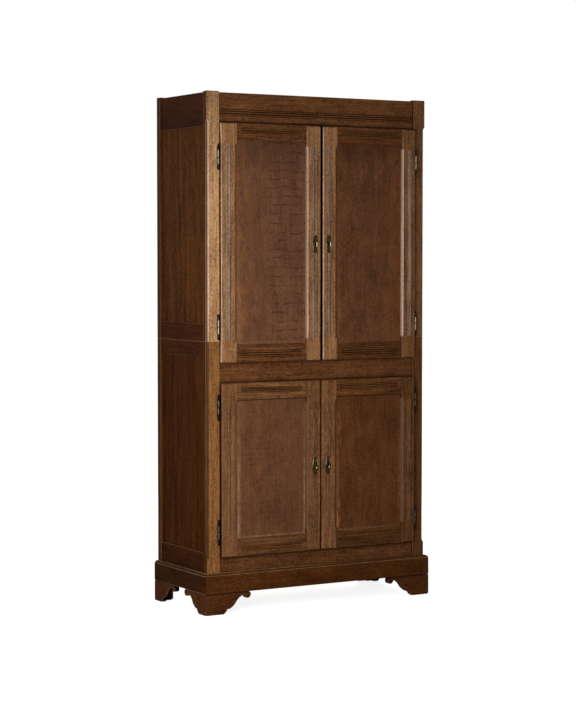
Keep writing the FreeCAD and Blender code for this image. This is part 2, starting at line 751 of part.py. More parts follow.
def bracket(name, toe, backwards, waste, x, y, angle):
    """One board of a foot, drawn in elevation and turned to its side of the plinth."""
    body = new_body(name)
    pad(body, draw(body, name + "_outline", "XZ_Plane", bracket_outline(toe)), "foot_board", backwards)
    if waste:
        pocket(body, draw(body, name + "_mitre", "XY_Plane", mitre("0", "foot_board", waste)))
    return place(body, x, y, "0", (0, 0, 1), angle)


def glue_block(name, y):
    return box(name, ("-plinth_edge + foot_board", "-plinth_edge + foot_board + foot_block"), y,
               ("foot_block_gap", "foot_height"))


piece("front_feet", both_sides("front_feet", [
    bracket("front_bracket", "front_toe", True, (0, 1), "-plinth_edge", "plinth_front_y", 0),
    bracket("side_bracket", "side_toe", False, (0, -1), "-plinth_edge", "plinth_front_y", 90),
    glue_block("front_block", ("plinth_front_y + foot_board", "plinth_front_y + foot_board + foot_block")),
]))
back_bracket = box("back_bracket", ("-plinth_edge + foot_board", "-plinth_edge + foot_board + back_toe"),
                   ("back_y - foot_board", "back_y"), ("0", "foot_height"))
piece("back_feet", both_sides("back_feet", [
    bracket("back_side_bracket", "side_toe", True, None, "-plinth_edge", "back_y", -90),
    back_bracket,
    glue_block("back_block", ("back_y - foot_board - foot_block", "back_y - foot_board")),
]))


# ---------------------------------------------------------------- hinges

BORE = "hinge_pin_radius + hinge_pin_fit"
FINIAL = (
    # radius, height above the meeting of the knuckles
    ("hinge_radius", "hinge_knuckle"),
    ("hinge_finial_radius", "hinge_knuckle"),
    ("hinge_finial_radius", "hinge_knuckle + hinge_finial - hinge_finial_shoulder"),
    ("hinge_finial_crown", "hinge_knuckle + hinge_finial"),
    ("0", "hinge_knuckle + hinge_finial"),
)
DOOR_KNUCKLE = (
    (BORE, "hinge_knuckle_gap / 2"),
    ("hinge_radius", "hinge_knuckle_gap / 2"),
    *FINIAL,
    ("0", "hinge_knuckle"),
    (BORE, "hinge_knuckle"),
)
POST_KNUCKLE = (
    # the same, with heights counted downwards and the pin standing up from it
    ("hinge_radius", "hinge_knuckle_gap / 2"),
    *FINIAL,
    ("0", "hinge_pin_short - hinge_knuckle"),
    ("hinge_pin_radius", "hinge_pin_short - hinge_knuckle"),
    ("hinge_pin_radius", "hinge_knuckle_gap / 2"),
)


def knuckle(name, outline, middle, turn):
    """Half of a hinge barrel with its finial, turned about the hinge axis."""
    body = new_body(name)
    revolve(body, draw(body, name + "_profile", "XZ_Plane", outline))
    return place(body, "-hinge_x", "hinge_y", middle, turn, 180)


def post_leaf(name, middle):
    """The lower knuckle, its pin and the leaf let back into the post."""
    leaf = box(name + "_leaf", ("-hinge_x - hinge_leaf_thickness / 2", "-hinge_x + hinge_leaf_thickness / 2"),
               ("hinge_y + hinge_pin_radius", "hinge_y + hinge_leaf_length"),
               (f"{middle} - hinge_knuckle", f"{middle} - hinge_knuckle_gap / 2"))
    return fuse(name, [knuckle(name + "_knuckle", POST_KNUCKLE, middle, (1, 0, 0)), leaf])


def door_leaf(name, middle):
    """The upper knuckle, which turns on the pin, and the leaf let into the door's edge."""
    leaf = box(name + "_leaf", (f"-hinge_x + {BORE} + hinge_leaf_root", "-hinge_x + hinge_leaf_length"),
               ("hinge_y - hinge_leaf_thickness / 2", "hinge_y + hinge_leaf_thickness / 2"),
               (f"{middle} + hinge_knuckle_gap / 2", f"{middle} + hinge_knuckle"))
    return fuse(name, [knuckle(name + "_knuckle", DOOR_KNUCKLE, middle, (0, 0, 1)), leaf])


for floor, middles in HINGES.items():
    leaves = [post_leaf(f"{floor}_post_leaf_{i}", middle) for i, middle in enumerate(middles)]
    piece(f"{floor}_post_hinges", both_sides(f"{floor}_post_hinges", leaves))


# ---------------------------------------------------------------- doors

def rail_heights(floor):
    """The heights of a door's bottom and top rails."""
    low, high = DOOR_ENDS[floor]
    return (low, f"{low} + door_bottom_rail"), (f"{high} - door_top_rail", high)


def end_bevel(name, x, z):
    """A cutter, square in section, that bevels the front end of a stile."""
    edge = box(name, ("0", f"({x[1]}) - ({x[0]})"), ("0", "stile_end_chamfer * sqrt(2)"),
               ("0", "stile_end_chamfer * sqrt(2)"))
    return place(edge, x[0], "door_front", f"({z}) - stile_end_chamfer", (1, 0, 0), 45)


def stile(name, floor, outer, edge, facing, reed_inset, tools):
    """A door stile between two x positions; its inner edge faces +X (1) or -X (-1)."""
    low, high = DOOR_ENDS[floor]
    rails = rail_heights(floor)
    x = (outer, edge) if facing > 0 else (edge, outer)

    def reach(depth):
        inwards = (f"{edge} - {depth}", f"{edge} + overcut")
        return inwards if facing > 0 else (f"{edge} - overcut", f"{edge} + {depth}")

    panel_y = eased(("door_panel_front", "door_panel_back"))
    blank = box(name + "_blank", x, ("door_front", "door_back"), (low, high))
    tools = tools + [box(name + "_groove", reach("groove_depth"), panel_y,
                         (f"{rails[0][1]} - groove_depth", f"{rails[1][0]} + groove_depth"))]
    for i, rail in enumerate(rails):
        tall = (f"{rail[0]} + tenon_shoulder", f"{rail[1]} - tenon_shoulder")
        tools.append(box(f"{name}_mortise_{i}", reach("door_tenon_length"), panel_y, eased(tall)))
    tools.append(stopped_chamfer(name + "_chamfer", "stile_chamfer", edge, "door_front",
                                 f"{rails[0][1]} + stile_chamfer_stop", f"{rails[1][0]} - stile_chamfer_stop",
                                 -45 if facing > 0 else 225))
    centre = f"{outer} + {facing} * {reed_inset}"
    half = f"reed_pitch * {REEDS / 2}"
    tools.append(reeding(name + "_reeding", (f"{centre} - {half}", f"{rails[0][1]} + stile_reed_margin"),
                         (f"{centre} + {half}", f"{rails[1][0]} - stile_reed_margin"),
                         "door_front", "reed_pitch", "z"))
    bevelled = (outer, f"{edge} - stile_end_margin") if facing > 0 else (f"{edge} + stile_end_margin", outer)
    tools.append(end_bevel(name + "_foot_bevel", bevelled, low))
    tools.append(end_bevel(name + "_head_bevel", bevelled, high))
    return cut(name, blank, tools)


def door_rail(name, z, groove, x, reed_low, reed_pitch):
    """A door rail set back from the stiles, reeded and grooved for the panel."""
    panel_y = ("door_panel_front", "door_panel_back")
    tenon_x = (f"{x[0]} - door_tenon_length + panel_play", f"{x[1]} + door_tenon_length - panel_play")
    board = tenoned_rail(name, x, ("door_rail_front", "door_back"), z, tenon_x, panel_y)
    slot = box(name + "_slot", (f"{x[0]} - tenon_length", f"{x[1]} + tenon_length"), eased(panel_y), groove)
    band = reeding(name + "_reeding", (reed_low, f"{x[0]} + rail_reed_margin"),
                   (f"{reed_low} + {reed_pitch} * {REEDS}", f"{x[1]} - rail_reed_margin"),
                   "door_rail_front", reed_pitch, "x")
    return cut(name, board, [slot, band])


def key_way(name, x, z, y):
    """A cutter for the plain slot behind a keyhole, as wide as the keyhole's eye."""
    return box(name, (f"{x} - keyhole_eye / 2", f"{x} + keyhole_eye / 2"), y,
               (f"{z} - keyhole_slot", f"{z} + keyhole_eye"))


CARTOUCHE = (
    ("escutcheon_neck", "-escutcheon_neck_rise"),
    ("escutcheon_waist", "-escutcheon_waist_rise", "escutcheon_width / 2 - escutcheon_waist", -1),
    ("escutcheon_waist", "escutcheon_waist_rise"),
    ("escutcheon_neck", "escutcheon_neck_rise", "escutcheon_height / 2 - escutcheon_neck_rise", -1),
    ("-escutcheon_neck", "escutcheon_neck_rise"),
    ("-escutcheon_waist", "escutcheon_waist_rise", "escutcheon_width / 2 - escutcheon_waist", -1),
    ("-escutcheon_waist", "-escutcheon_waist_rise"),
    ("-escutcheon_neck", "-escutcheon_neck_rise", "escutcheon_height / 2 - escutcheon_neck_rise", -1),
)
KEYHOLE = (
    ("-keyhole_half_slot", "-keyhole_slot"),
    ("keyhole_half_slot", "-keyhole_slot"),
    ("keyhole_half_slot", "0", "keyhole_eye", -1),
    ("-keyhole_half_slot", "0"),
)


BOSS = (
    # an upright oval of four arcs
    ("boss_half_width", "-boss_half_height", "boss_side_sag", -1),
    ("boss_half_width", "boss_half_height", "boss_end_sag", -1),
    ("-boss_half_width", "boss_half_height", "boss_side_sag", -1),
    ("-boss_half_width", "-boss_half_height", "boss_end_sag", -1),
)


def escutcheon(name, x, z):
    """A cast keyhole plate: cartouche, raised oval boss and keyhole."""
    body = new_body(name)
    pad(body, draw(body, name + "_plate", "XZ_Plane", CARTOUCHE), "escutcheon_plate", False)
    pad(body, draw(body, name + "_boss", "XZ_Plane", BOSS), "escutcheon_plate + escutcheon_boss", False)
    pocket(body, draw(body, name + "_keyhole", "XZ_Plane", KEYHOLE))
    return place(body, x, "door_front", z)


def lock(name, inside, z):
    """A rim lock on the back of a meeting stile: flanged case and the bolt inside it."""
    x = (f"-({inside}) - lock_width", f"-({inside})")
    tall = (f"{z} - lock_height / 2", f"{z} + lock_height / 2")
    case = box(name + "_shell", x, ("door_back", "door_back + lock_depth"), tall)
    flange = box(name + "_flange", (f"{x[0]} - lock_flange", x[1]),
                 ("door_back", "door_back + lock_flange_thickness"), eased(tall, "lock_flange"))
    bolt_y = ("lock_bolt_front", "lock_bolt_front + lock_bolt_depth")
    bolt_z = (f"{z} - lock_bolt_height / 2", f"{z} + lock_bolt_height / 2")
    tip = f"-({inside}) - lock_fit"
    slot = box(name + "_bolt_slot", (f"{tip} - lock_bolt_length - lock_fit", f"-({inside}) + overcut"),
               eased(bolt_y, "lock_fit"), eased(bolt_z, "lock_fit"))
    bolt = box(name + "_bolt", (f"{tip} - lock_bolt_length", tip), bolt_y, bolt_z)
    hole = key_way(name + "_key_way", f"-({inside}) - right_meeting_reeds", z,
                   ("door_back - overcut", "lock_bolt_front"))
    return cut(name + "_case", fuse(name + "_body", [case, flange]), [slot, hole]), bolt


def shoot_bolt(name, edge, way):
    """A surface bolt that shoots past an edge, up (1) or down (-1): its plate and its bar."""
    x = "-bolt_x"
    near = f"({edge}) - {way} * bolt_setback"
    far = f"({edge}) - {way} * (bolt_setback + bolt_plate_height)"
    z = (far, near) if way > 0 else (near, far)
    plate = box(name + "_plate", (f"{x} - bolt_plate_width / 2", f"{x} + bolt_plate_width / 2"),
                ("door_back", "door_back + bolt_plate_thickness"), z)
    staples = [box(f"{name}_staple_{i}", (f"{x} - bolt_staple_size / 2", f"{x} + bolt_staple_size / 2"),
                   ("door_back", "door_back + bolt_plate_thickness + bolt_staple_size"), tall)
               for i, tall in enumerate(((z[0], f"{z[0]} + bolt_staple_height"),
                                         (f"{z[1]} - bolt_staple_height", z[1])))]
    way_through = box(name + "_way_through", eased(BOLT_X, "bolt_bar_fit"), eased(BOLT_Y, "bolt_bar_fit"),
                      eased(z, "overcut"))
    holder = cut(name + "_holder", fuse(name + "_straps", [plate] + staples), [way_through])
    length = (f"{z[0]} - bolt_bar_tail", z[1]) if way > 0 else (z[0], f"{z[1]} + bolt_bar_tail")
    bar = box(name + "_bar", BOLT_X, BOLT_Y, length)
    knob_z = f"({far}) + {way} * bolt_knob_rise"
    knob = cylinder(name + "_knob", "bolt_knob_radius", "bolt_knob_length", x,
                    f"{BOLT_Y[1]} + bolt_knob_length", knob_z, (1, 0, 0), 90)
    return holder, fuse(name, [bar, knob])


def door(floor, side):
    """One framed and panelled leaf with its hinge leaves, escutcheon and lock or bolts.

    Every leaf is drawn on the left; those of the right side are mirrored."""
    name = f"{floor}_{side}_door"
    chamfered = (floor, side) == ("upper", "right")
    inside = "door_inside + upper_right_gap" if chamfered else "door_inside"
    hinge_edge, meeting_edge = "-door_outside", f"-({inside})"
    x = (f"{hinge_edge} + {side}_hinge_stile", f"{meeting_edge} - {side}_meeting_stile")
    rails = rail_heights(floor)
    low, high = DOOR_ENDS[floor]
    key_x, key_z = f"{meeting_edge} - {side}_meeting_reeds", f"{low} + {floor}_escutcheon_rise"

    slots = [box(f"{name}_hinge_slot_{i}",
                 (f"{hinge_edge} - overcut", "-hinge_x + hinge_leaf_length + mortise_fit"),
                 eased(("hinge_y - hinge_leaf_thickness / 2", "hinge_y + hinge_leaf_thickness / 2")),
                 eased((f"{middle} + hinge_knuckle_gap / 2", f"{middle} + hinge_knuckle")))
             for i, middle in enumerate(HINGES[floor])]
    cuts = []
    if side == "right":
        through = eased(("door_front", "door_back"), "overcut")
        cuts.append(key_way(name + "_key_way", key_x, key_z, through))
    if chamfered:
        cuts.append(stopped_chamfer(name + "_edge_chamfer", "upper_right_chamfer", meeting_edge,
                                    "door_front", *eased((low, high), "overcut"), -45, (False, False)))
    grooves = ((f"{rails[0][1]} - groove_depth", f"{rails[0][1]} + overcut"),
               (f"{rails[1][0]} - overcut", f"{rails[1][0]} + groove_depth"))
    pitches = (f"{floor}_bottom_reed_pitch", f"{floor}_top_reed_pitch")
    reed_lows = (f"{low} + {floor}_reed_rise", f"{high} - {floor}_reed_drop - {pitches[1]} * {REEDS}")
    parts = {
        "stiles": [stile(name + "_hinge_stile", floor, hinge_edge, x[0], 1, f"{side}_hinge_reeds", slots),
                   stile(name + "_meeting_stile", floor, meeting_edge, x[1], -1, f"{side}_meeting_reeds",
                         cuts)],
        "rails": [door_rail(f"{name}_{end}_rail", *rest) for end, *rest in
                  zip(("bottom", "top"), rails, grooves, (x, x), reed_lows, pitches)],
        "panel": [box(name + "_panel_board", eased(x, "groove_depth - panel_play"),
                      ("door_panel_front", "door_panel_back"),
                      eased((rails[0][1], rails[1][0]), "groove_depth - panel_play"))],
        "hinge_leaves": [door_leaf(f"{name}_leaf_{i}", middle) for i, middle in enumerate(HINGES[floor])],
        "escutcheon": [escutcheon(name + "_keyplate", key_x, key_z)],
    }
    for part, solids in parts.items():
        if side == "right":
            solids = [mirror(f"{name}_{part}_mirror_{i}", solid) for i, solid in enumerate(solids)]
        piece(f"{name}_{part}", group(f"{name}_{part}", solids))
    if side == "right":
        for part, solid in zip(("lock_case", "lock_bolt"), lock(f"{floor}_rim_lock", inside, key_z)):
            twin = mirror(f"{floor}_{part}_mirror", solid)
            piece(f"{floor}_{part}", group(f"{floor}_{part}", [twin]))


for floor in ("lower", "upper"):
    for side in ("left", "right"):
        door(floor, side)

BOLT_EDGES = {
    "lower": {"top": ("middle_rail_low", 1), "bottom": ("bottom_rail_top", -1)},
    "upper": {"top": ("frieze_low", 1), "bottom": ("upper_floor_top", -1)},
}
for floor, ends in BOLT_EDGES.items():
    holders = []
    for end, (edge, way) in ends.items():
        holder, bar = shoot_bolt(f"{floor}_{end}_shoot", edge, way)
        holders.append(holder)
        piece(f"{floor}_{end}_bolt", group(f"{floor}_{end}_bolt", [bar]))
    piece(f"{floor}_bolt_plates", group(f"{floor}_bolt_plates", holders))


# ---------------------------------------------------------------- check and export

doc.recompute()
for item in doc.Objects:
    if {"Invalid", "Error"} & set(item.State):
        raise RuntimeError(f"{item.Name} did not recompute: {item.State}")
for item in PIECES:
    if item.Shape.isNull() or not item.Shape.isValid() or not item.Shape.Solids:
        raise RuntimeError(f"{item.Label} has no sound solid")
os.makedirs("parts", exist_ok=True)
for item in PIECES:
    item.Shape.exportStep(f"parts/{item.Label}.step")
print(len(PIECES), "pieces,", sum(len(item.Shape.Solids) for item in PIECES), "solids")
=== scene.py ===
import json
import math
import random

import bmesh
import bpy
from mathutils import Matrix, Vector

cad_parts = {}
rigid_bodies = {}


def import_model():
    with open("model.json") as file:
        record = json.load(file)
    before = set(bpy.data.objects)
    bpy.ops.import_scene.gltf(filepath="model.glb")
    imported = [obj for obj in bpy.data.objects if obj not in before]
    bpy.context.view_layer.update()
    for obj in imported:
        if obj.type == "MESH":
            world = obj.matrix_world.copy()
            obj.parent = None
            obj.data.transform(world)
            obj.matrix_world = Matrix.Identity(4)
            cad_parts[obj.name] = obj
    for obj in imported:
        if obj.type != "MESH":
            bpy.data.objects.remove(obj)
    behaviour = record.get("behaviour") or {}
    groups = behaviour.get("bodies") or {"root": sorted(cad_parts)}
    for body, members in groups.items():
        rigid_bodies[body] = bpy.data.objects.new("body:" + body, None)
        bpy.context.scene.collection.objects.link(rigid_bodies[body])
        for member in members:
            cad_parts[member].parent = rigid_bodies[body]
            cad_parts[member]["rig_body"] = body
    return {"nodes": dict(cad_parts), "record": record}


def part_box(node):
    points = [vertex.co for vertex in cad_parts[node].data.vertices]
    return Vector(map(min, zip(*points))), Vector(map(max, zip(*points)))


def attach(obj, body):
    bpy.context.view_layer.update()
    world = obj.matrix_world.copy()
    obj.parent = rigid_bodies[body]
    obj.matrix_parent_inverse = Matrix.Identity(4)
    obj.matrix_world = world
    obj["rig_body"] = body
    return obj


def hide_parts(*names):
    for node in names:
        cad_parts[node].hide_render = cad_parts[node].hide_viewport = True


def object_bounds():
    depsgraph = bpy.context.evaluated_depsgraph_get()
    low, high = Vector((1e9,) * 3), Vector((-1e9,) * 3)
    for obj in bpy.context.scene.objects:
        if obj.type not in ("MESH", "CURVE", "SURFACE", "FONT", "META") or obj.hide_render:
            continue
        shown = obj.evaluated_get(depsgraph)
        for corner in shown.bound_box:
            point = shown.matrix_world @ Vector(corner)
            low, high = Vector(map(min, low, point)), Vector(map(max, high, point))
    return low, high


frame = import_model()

# A linen press of stained oak in three stacked sections. Lengths are metres and the frame is
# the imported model's own: +Z up, -Y to the front, the floor at z = 0.

cad_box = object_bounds()
MM = 0.001


# ---------------------------------------------------------------- plinth and bracket feet
# Moulded oak boards, mitred at the front corners, on scrolled bracket feet with glue blocks
# behind. The oak is stained dark and waxed. Its arrises are rubbed and painted paler, with a
# painted highlight, and near the crack over the feet they are painted near black.

def linear(colour):
    """A hex sRGB colour as linear red, green, blue and alpha."""
    parts = [int(colour[i:i + 2], 16) / 255 for i in (1, 3, 5)]
    return (*(part / 12.92 if part <= 0.04045 else ((part + 0.055) / 1.055) ** 2.4 for part in parts), 1)


def add(tree, kind, settings=None, inputs=None):
    """Add a node with its settings. Each input is a value or another node's output."""
    node = tree.nodes.new(kind)
    for name, setting in (settings or {}).items():
        setattr(node, name, setting)
    for name, source in (inputs or {}).items():
        if isinstance(source, bpy.types.NodeSocket):
            tree.links.new(source, node.inputs[name])
        else:
            node.inputs[name].default_value = source
    return node


def new_material(name):
    material = bpy.data.materials.new(name)
    material.use_nodes = True
    material.node_tree.nodes.clear()
    return material, material.node_tree


def between(tree, value, low, high):
    """Where a value lies between two others, from 0 to 1."""
    return add(tree, "ShaderNodeMapRange", None, {
        "Value": value, "From Min": low, "From Max": high}).outputs[0]


def mixed(tree, share, none, full):
    """A colour between two others, by a share of the second."""
    return add(tree, "ShaderNodeMix", {"data_type": "RGBA"}, {0: share, 6: none, 7: full}).outputs[2]


WHOLE_HEIGHT = round(cad_box[1][2] / MM)
# How far the figure shifts, in metres, from a board numbered 0 to one numbered 1.
BOARD_SHIFT = (1.7, 2.3, 3.1)
PORE, KNOT, RAY_LINE = "#1C0E06", "#2A160C", "#341C0F"
RUBBED_GRAIN, SHADE_BROWN, BAND_DARK = "#C8834A", "#22120A", "#120904"


def oak(name, grain, light, dark, streak=0.35, fleck=0.5, ray=0.2, ray_tone=None, waves=None,
        rough=0.45, sheen=0.05, worn=None, stain=None, dirt=None, blot=0.0, valley=None,
        fade=(0.15, 0.75), dark_bands=(), ring=10):
    """Quarter-sawn oak, fumed, stained and waxed, with its grain along "X", "Y" or "Z".

    The growth rings streak it along the grain, short pores fleck it and the medullary rays cross
    it (towards ray_tone, or darker). waves draws thin dark ray lines over a panel: their step in
    millimetres, their slant in degrees, where across the panel they begin and are strongest, and
    how dark they are. worn is the colour of the dust along a panel's rims and stain that of a
    blotch at one side of it. dirt is how much its top is darkened, from where up to where. blot
    makes dark knotty marks. valley is the colour where the attribute "depth" is above fade. grime
    gives heights in millimetres, and how black the wood is at each. ring is how far apart the
    growth rings are, in millimetres."""
    material, tree = new_material(name)
    place = add(tree, "ShaderNodeTexCoord").outputs["Object"]
    board = add(tree, "ShaderNodeAttribute", {"attribute_name": "board"}).outputs["Fac"]
    shift = add(tree, "ShaderNodeVectorMath", {"operation": "SCALE"}, {0: BOARD_SHIFT, "Scale": board})
    spot = add(tree, "ShaderNodeVectorMath", {"operation": "ADD"}, {0: place, 1: shift.outputs[0]})

    def figure(across, along, low, high, detail=3.0, warp=0.0):
        """Marks in cells of across by along millimetres, none below low and full above high."""
        size = [along if axis == grain else across for axis in "XYZ"]
        cells = add(tree, "ShaderNodeMapping", None, {
            "Vector": spot.outputs[0], "Scale": [1 / (length * MM) for length in size]})
        noise = add(tree, "ShaderNodeTexNoise", None, {
            "Vector": cells.outputs[0], "Scale": 1.0, "Detail": detail, "Roughness": 0.6,
            "Distortion": warp})
        return between(tree, noise.outputs[0], low, high)

    def weighed(total, *marks):
        """A number with some marks added, each by its weight."""
        for mark, weight in marks:
            how = {"operation": "MULTIPLY_ADD"}
            total = add(tree, "ShaderNodeMath", how, {0: mark, 1: weight, 2: total}).outputs[0]
        return total

    def laid_over(wood, colour, amount, *shares):
        """A colour laid over the wood by an amount times some shares.

        A share is a value from 0 to 1, or a value and where it gives 0 and 1."""
        for share in shares:
            if isinstance(share, tuple):
                share = between(tree, *share)
            less = add(tree, "ShaderNodeMath", {"operation": "MULTIPLY"}, {0: amount, 1: share})
            amount = less.outputs[0]
        return mixed(tree, amount, wood, linear(colour))

    # Fibres are 2.6 mm apart and mottling 5 mm. Pores are really 0.3 mm wide, and are
    # drawn 3 mm wide so that they show.
    rings = figure(ring, 17 * ring, 0.3, 0.7, 4, 0.6)
    fibres = figure(2.6, 30, 0.3, 0.7, 2)
    mottle = figure(5, 9, 0.34, 0.66, 2, 0.3)
    pores = figure(3, 8, 0.54, 0.68, 2)
    rays = figure(15, 5, 0.55, 0.68, 2, 1.4)
    clouds = figure(70, 120, 0.3, 0.7, 3, 0.5)
    tone = weighed(0.0, (clouds, 0.5 - streak), (fibres, 0.2), (mottle, 0.3), (rings, streak))
    wood = mixed(tree, between(tree, tone, 0.24, 0.76), linear(dark), linear(light))
    wood = laid_over(wood, ray_tone or dark, ray, rays)
    wood = laid_over(wood, PORE, fleck, pores)
    if blot:
        wood = laid_over(wood, KNOT, blot, figure(12, 26, 0.63, 0.72, 3, 1.2))
    if waves or worn or stain:
        uv = add(tree, "ShaderNodeUVMap", {"uv_map": "panel"}).outputs[0]
        across, up = add(tree, "ShaderNodeSeparateXYZ", None, {0: uv}).outputs[:2]
    if waves:
        step, slant, begin, full, strength = waves
        band = math.tau / 20 / (step * MM)
        lines = add(tree, "ShaderNodeMapping", None, {
            "Vector": spot.outputs[0], "Rotation": (0, math.radians(slant), 0), "Scale": (13, 13, band)})
        lines = add(tree, "ShaderNodeTexWave", {"bands_direction": "Z"}, {
            "Vector": lines.outputs[0], "Scale": 1.0, "Distortion": 3.4, "Detail": 2.0,
            "Detail Scale": 1.0})
        wood = laid_over(wood, RAY_LINE, strength, (lines.outputs["Fac"], 0.9, 1.0),
                         figure(44, 40, 0.42, 0.56, 2), (across, begin, full))
    if stain:
        colour, where = stain
        wood = laid_over(wood, colour, 0.35, figure(50, 90, 0.42, 0.6, 3, 0.6),
                         (across, where + 0.25, where), (across, where - 0.3, where))
    shade = weighed(0.9, (clouds, 0.1), (board, 0.16))
    wood = add(tree, "ShaderNodeMix", {"data_type": "RGBA", "blend_type": "MULTIPLY"}, {
        0: 1.0, 6: wood, 7: shade}).outputs[2]
    if worn:
        rim = figure(9, 30, 0.35, 0.6, 4, 0.8)
        wood = laid_over(wood, worn, 0.75, rim, (across, 0.012, 0.03), (across, 0.08, 0.04), (up, 1.1, 0.3))
        wood = laid_over(wood, worn, 1.0, rim, (across, 0.96, 1.0), (up, 1.1, 0.3))
        wood = laid_over(wood, worn, 1.0, rim, (up, 0.016, 0.0))
        wood = laid_over(wood, RUBBED_GRAIN, 0.8, (across, 0.12, 0.05), figure(4, 50, 0.6, 0.68, 2),
                         figure(60, 90, 0.5, 0.62, 1))
    # The top is painted darker: painted shade under the rail above.
    if dirt:
        amount, low, high = dirt
        wood = laid_over(wood, SHADE_BROWN, amount, (up, low, high))
    if valley:
        depth = add(tree, "ShaderNodeAttribute", {"attribute_name": "depth"}).outputs["Fac"]
        wood = laid_over(wood, valley, 1.0, (depth, *fade))
    # Bands at given heights are painted darker, mottled.
    if dark_bands:
        height = add(tree, "ShaderNodeSeparateXYZ", None, {0: place}).outputs["Z"]
        share = add(tree, "ShaderNodeMath", {"operation": "DIVIDE"}, {0: height, 1: WHOLE_HEIGHT * MM})
        ramp = add(tree, "ShaderNodeValToRGB", None, {0: share.outputs[0]})
        stops = ramp.color_ramp.elements
        stops[1].color = stops[0].color
        for level, amount in dark_bands:
            stops.new(level / WHOLE_HEIGHT).color = (amount, amount, amount, 1)
        wood = laid_over(wood, BAND_DARK, 1.0, ramp.outputs[0], (mottle, -1.0, 0.4))
    relief = weighed(0.0, (pores, -1.0), (mottle, 0.3))
    bump = add(tree, "ShaderNodeBump", None, {"Height": relief, "Strength": 0.5, "Distance": 0.2 * MM})
    surface = add(tree, "ShaderNodeBsdfPrincipled", None, {
        "Base Color": wood, "Roughness": weighed(rough - 0.06, (clouds, 0.14)),
        "Specular IOR Level": sheen, "IOR": 1.5, "Normal": bump.outputs[0]})
    add(tree, "ShaderNodeOutputMaterial", None, {"Surface": surface.outputs[0]})
    return material


HAIR = 0.01 * MM
LEVEL_RISE, LONG_EDGE = 10 * MM, 30 * MM
NEARLY_FLAT, SHARP_TURN = math.radians(0.2), math.radians(28)
ARRIS = 1


def new_object(name, data):
    """A new object for a mesh, a light or a camera, in the scene."""
    thing = bpy.data.objects.new(name, data)
    bpy.context.scene.collection.objects.link(thing)
    return thing


def merged(node, suffix):
    """A copy of a CAD node, its loose triangles joined into the whole flat faces of each solid.

    The face attribute "board" holds a different number for each solid of the node, and the
    vertex attribute "depth" starts at 1 all over."""
    shape = bmesh.new()
    number = shape.faces.layers.float.new("board")
    depth = shape.verts.layers.float.new("depth")
    source = frame["nodes"][node].data
    for triangle in source.polygons:
        shape.faces.new([shape.verts.new(source.vertices[i].co) for i in triangle.vertices])
    for vertex in shape.verts:
        vertex[depth] = 1
    sides = {}
    for edge in shape.edges:
        ends = frozenset(tuple(round(value / MM, 3) for value in vertex.co) for vertex in edge.verts)
        sides.setdefault(ends, []).extend(edge.link_faces)
    near = {face: [] for face in shape.faces}
    for faces in sides.values():
        if len(faces) == 2:
            near[faces[0]].append(faces[1])
            near[faces[1]].append(faces[0])
    chance = random.Random(node)
    solids = []
    placed = set()
    for first in shape.faces:
        if first in placed:
            continue
        placed.add(first)
        solid = [first]
        for face in solid:
            fresh = [other for other in near[face] if other not in placed]
            placed.update(fresh)
            solid.extend(dict.fromkeys(fresh))
        share = chance.random()
        for face in solid:
            face[number] = share
        solids.append([vertex for face in solid for vertex in face.verts])
    for vertices in solids:
        bmesh.ops.remove_doubles(shape, verts=vertices, dist=0.1 * HAIR)
    bmesh.ops.dissolve_limit(shape, angle_limit=NEARLY_FLAT, verts=shape.verts, edges=shape.edges)
    mesh = bpy.data.meshes.new(node + suffix)
    shape.to_mesh(mesh)
    shape.free()
    if "custom_normal" in mesh.attributes:
        mesh.attributes.remove(mesh.attributes["custom_normal"])
    return new_object(node + suffix, mesh)


def solids_of(shape):
    """The solids of a mesh, as lists of faces by their number."""
    number = shape.faces.layers.float["board"]
    found = {}
    for face in shape.faces:
        found.setdefault(round(face[number], 6), []).append(face)
    return found.values()


def corners(faces):
    """The lowest and highest corners of some faces."""
    points = [vertex.co for face in faces for vertex in face.verts]
    return [[pick(point[i] for point in points) for i in range(3)] for pick in (min, max)]


def eased(piece, width, bold=None, outline=False, level=False, sharp=None):
    """Ease the long arrises of each board, or with outline its shaped edges too. With level
    the upright ones stay sharp, and so do those of faces with the material sharp.

    bold is the width of the whole piece's front arris on the left, where "depth" is set to 0.
    Eased faces take the material ARRIS."""
    shape = bmesh.new()
    shape.from_mesh(piece.data)
    weight = shape.edges.layers.float.new("bevel_weight_edge")
    depth = shape.verts.layers.float["depth"]
    left = min(vertex.co.x for vertex in shape.verts)
    for faces in solids_of(shape):
        low, high = corners(faces)
        for edge in {edge for face in faces for edge in face.edges}:
            if len(edge.link_faces) != 2 or not edge.is_convex or edge.calc_face_angle() < SHARP_TURN:
                continue
            on = [[all(abs(vertex.co[i] - side[i]) < HAIR for vertex in edge.verts) for i in range(3)]
                  for side in (low, high)]
            planes = sum(on[0]) + sum(on[1])
            if level and abs(edge.verts[0].co.z - edge.verts[1].co.z) > LEVEL_RISE:
                continue
            if any(face.material_index == sharp for face in edge.link_faces):
                continue
            sloped = any(0.6 < abs(face.normal.x) < 0.8 and 0.6 < abs(face.normal.y) < 0.8
                         for face in edge.link_faces)
            if planes >= 2 or (outline and planes == 1) or (sloped and edge.calc_length() > LONG_EDGE):
                front_left = on[0][0] and on[0][1] and low[0] - left < HAIR
                edge[weight] = 1 if front_left or not bold else width / bold
                for vertex in edge.verts if front_left and bold else ():
                    vertex[depth] = 0
    shape.to_mesh(piece.data)
    shape.free()
    # The eased faces take the material ARRIS, a paler wood: wear, and a painted highlight along the edges. A
    # bold arris keeps that wood's palest colour: a painted highlight where it looks to the light.
    bevel = piece.modifiers.new("eased arrises", "BEVEL")
    bevel.width = bold or width
    bevel.segments = 3 if bold else 2
    bevel.limit_method = "WEIGHT"
    bevel.use_clamp_overlap = False
    bevel.material = ARRIS
    bevel.harden_normals = True


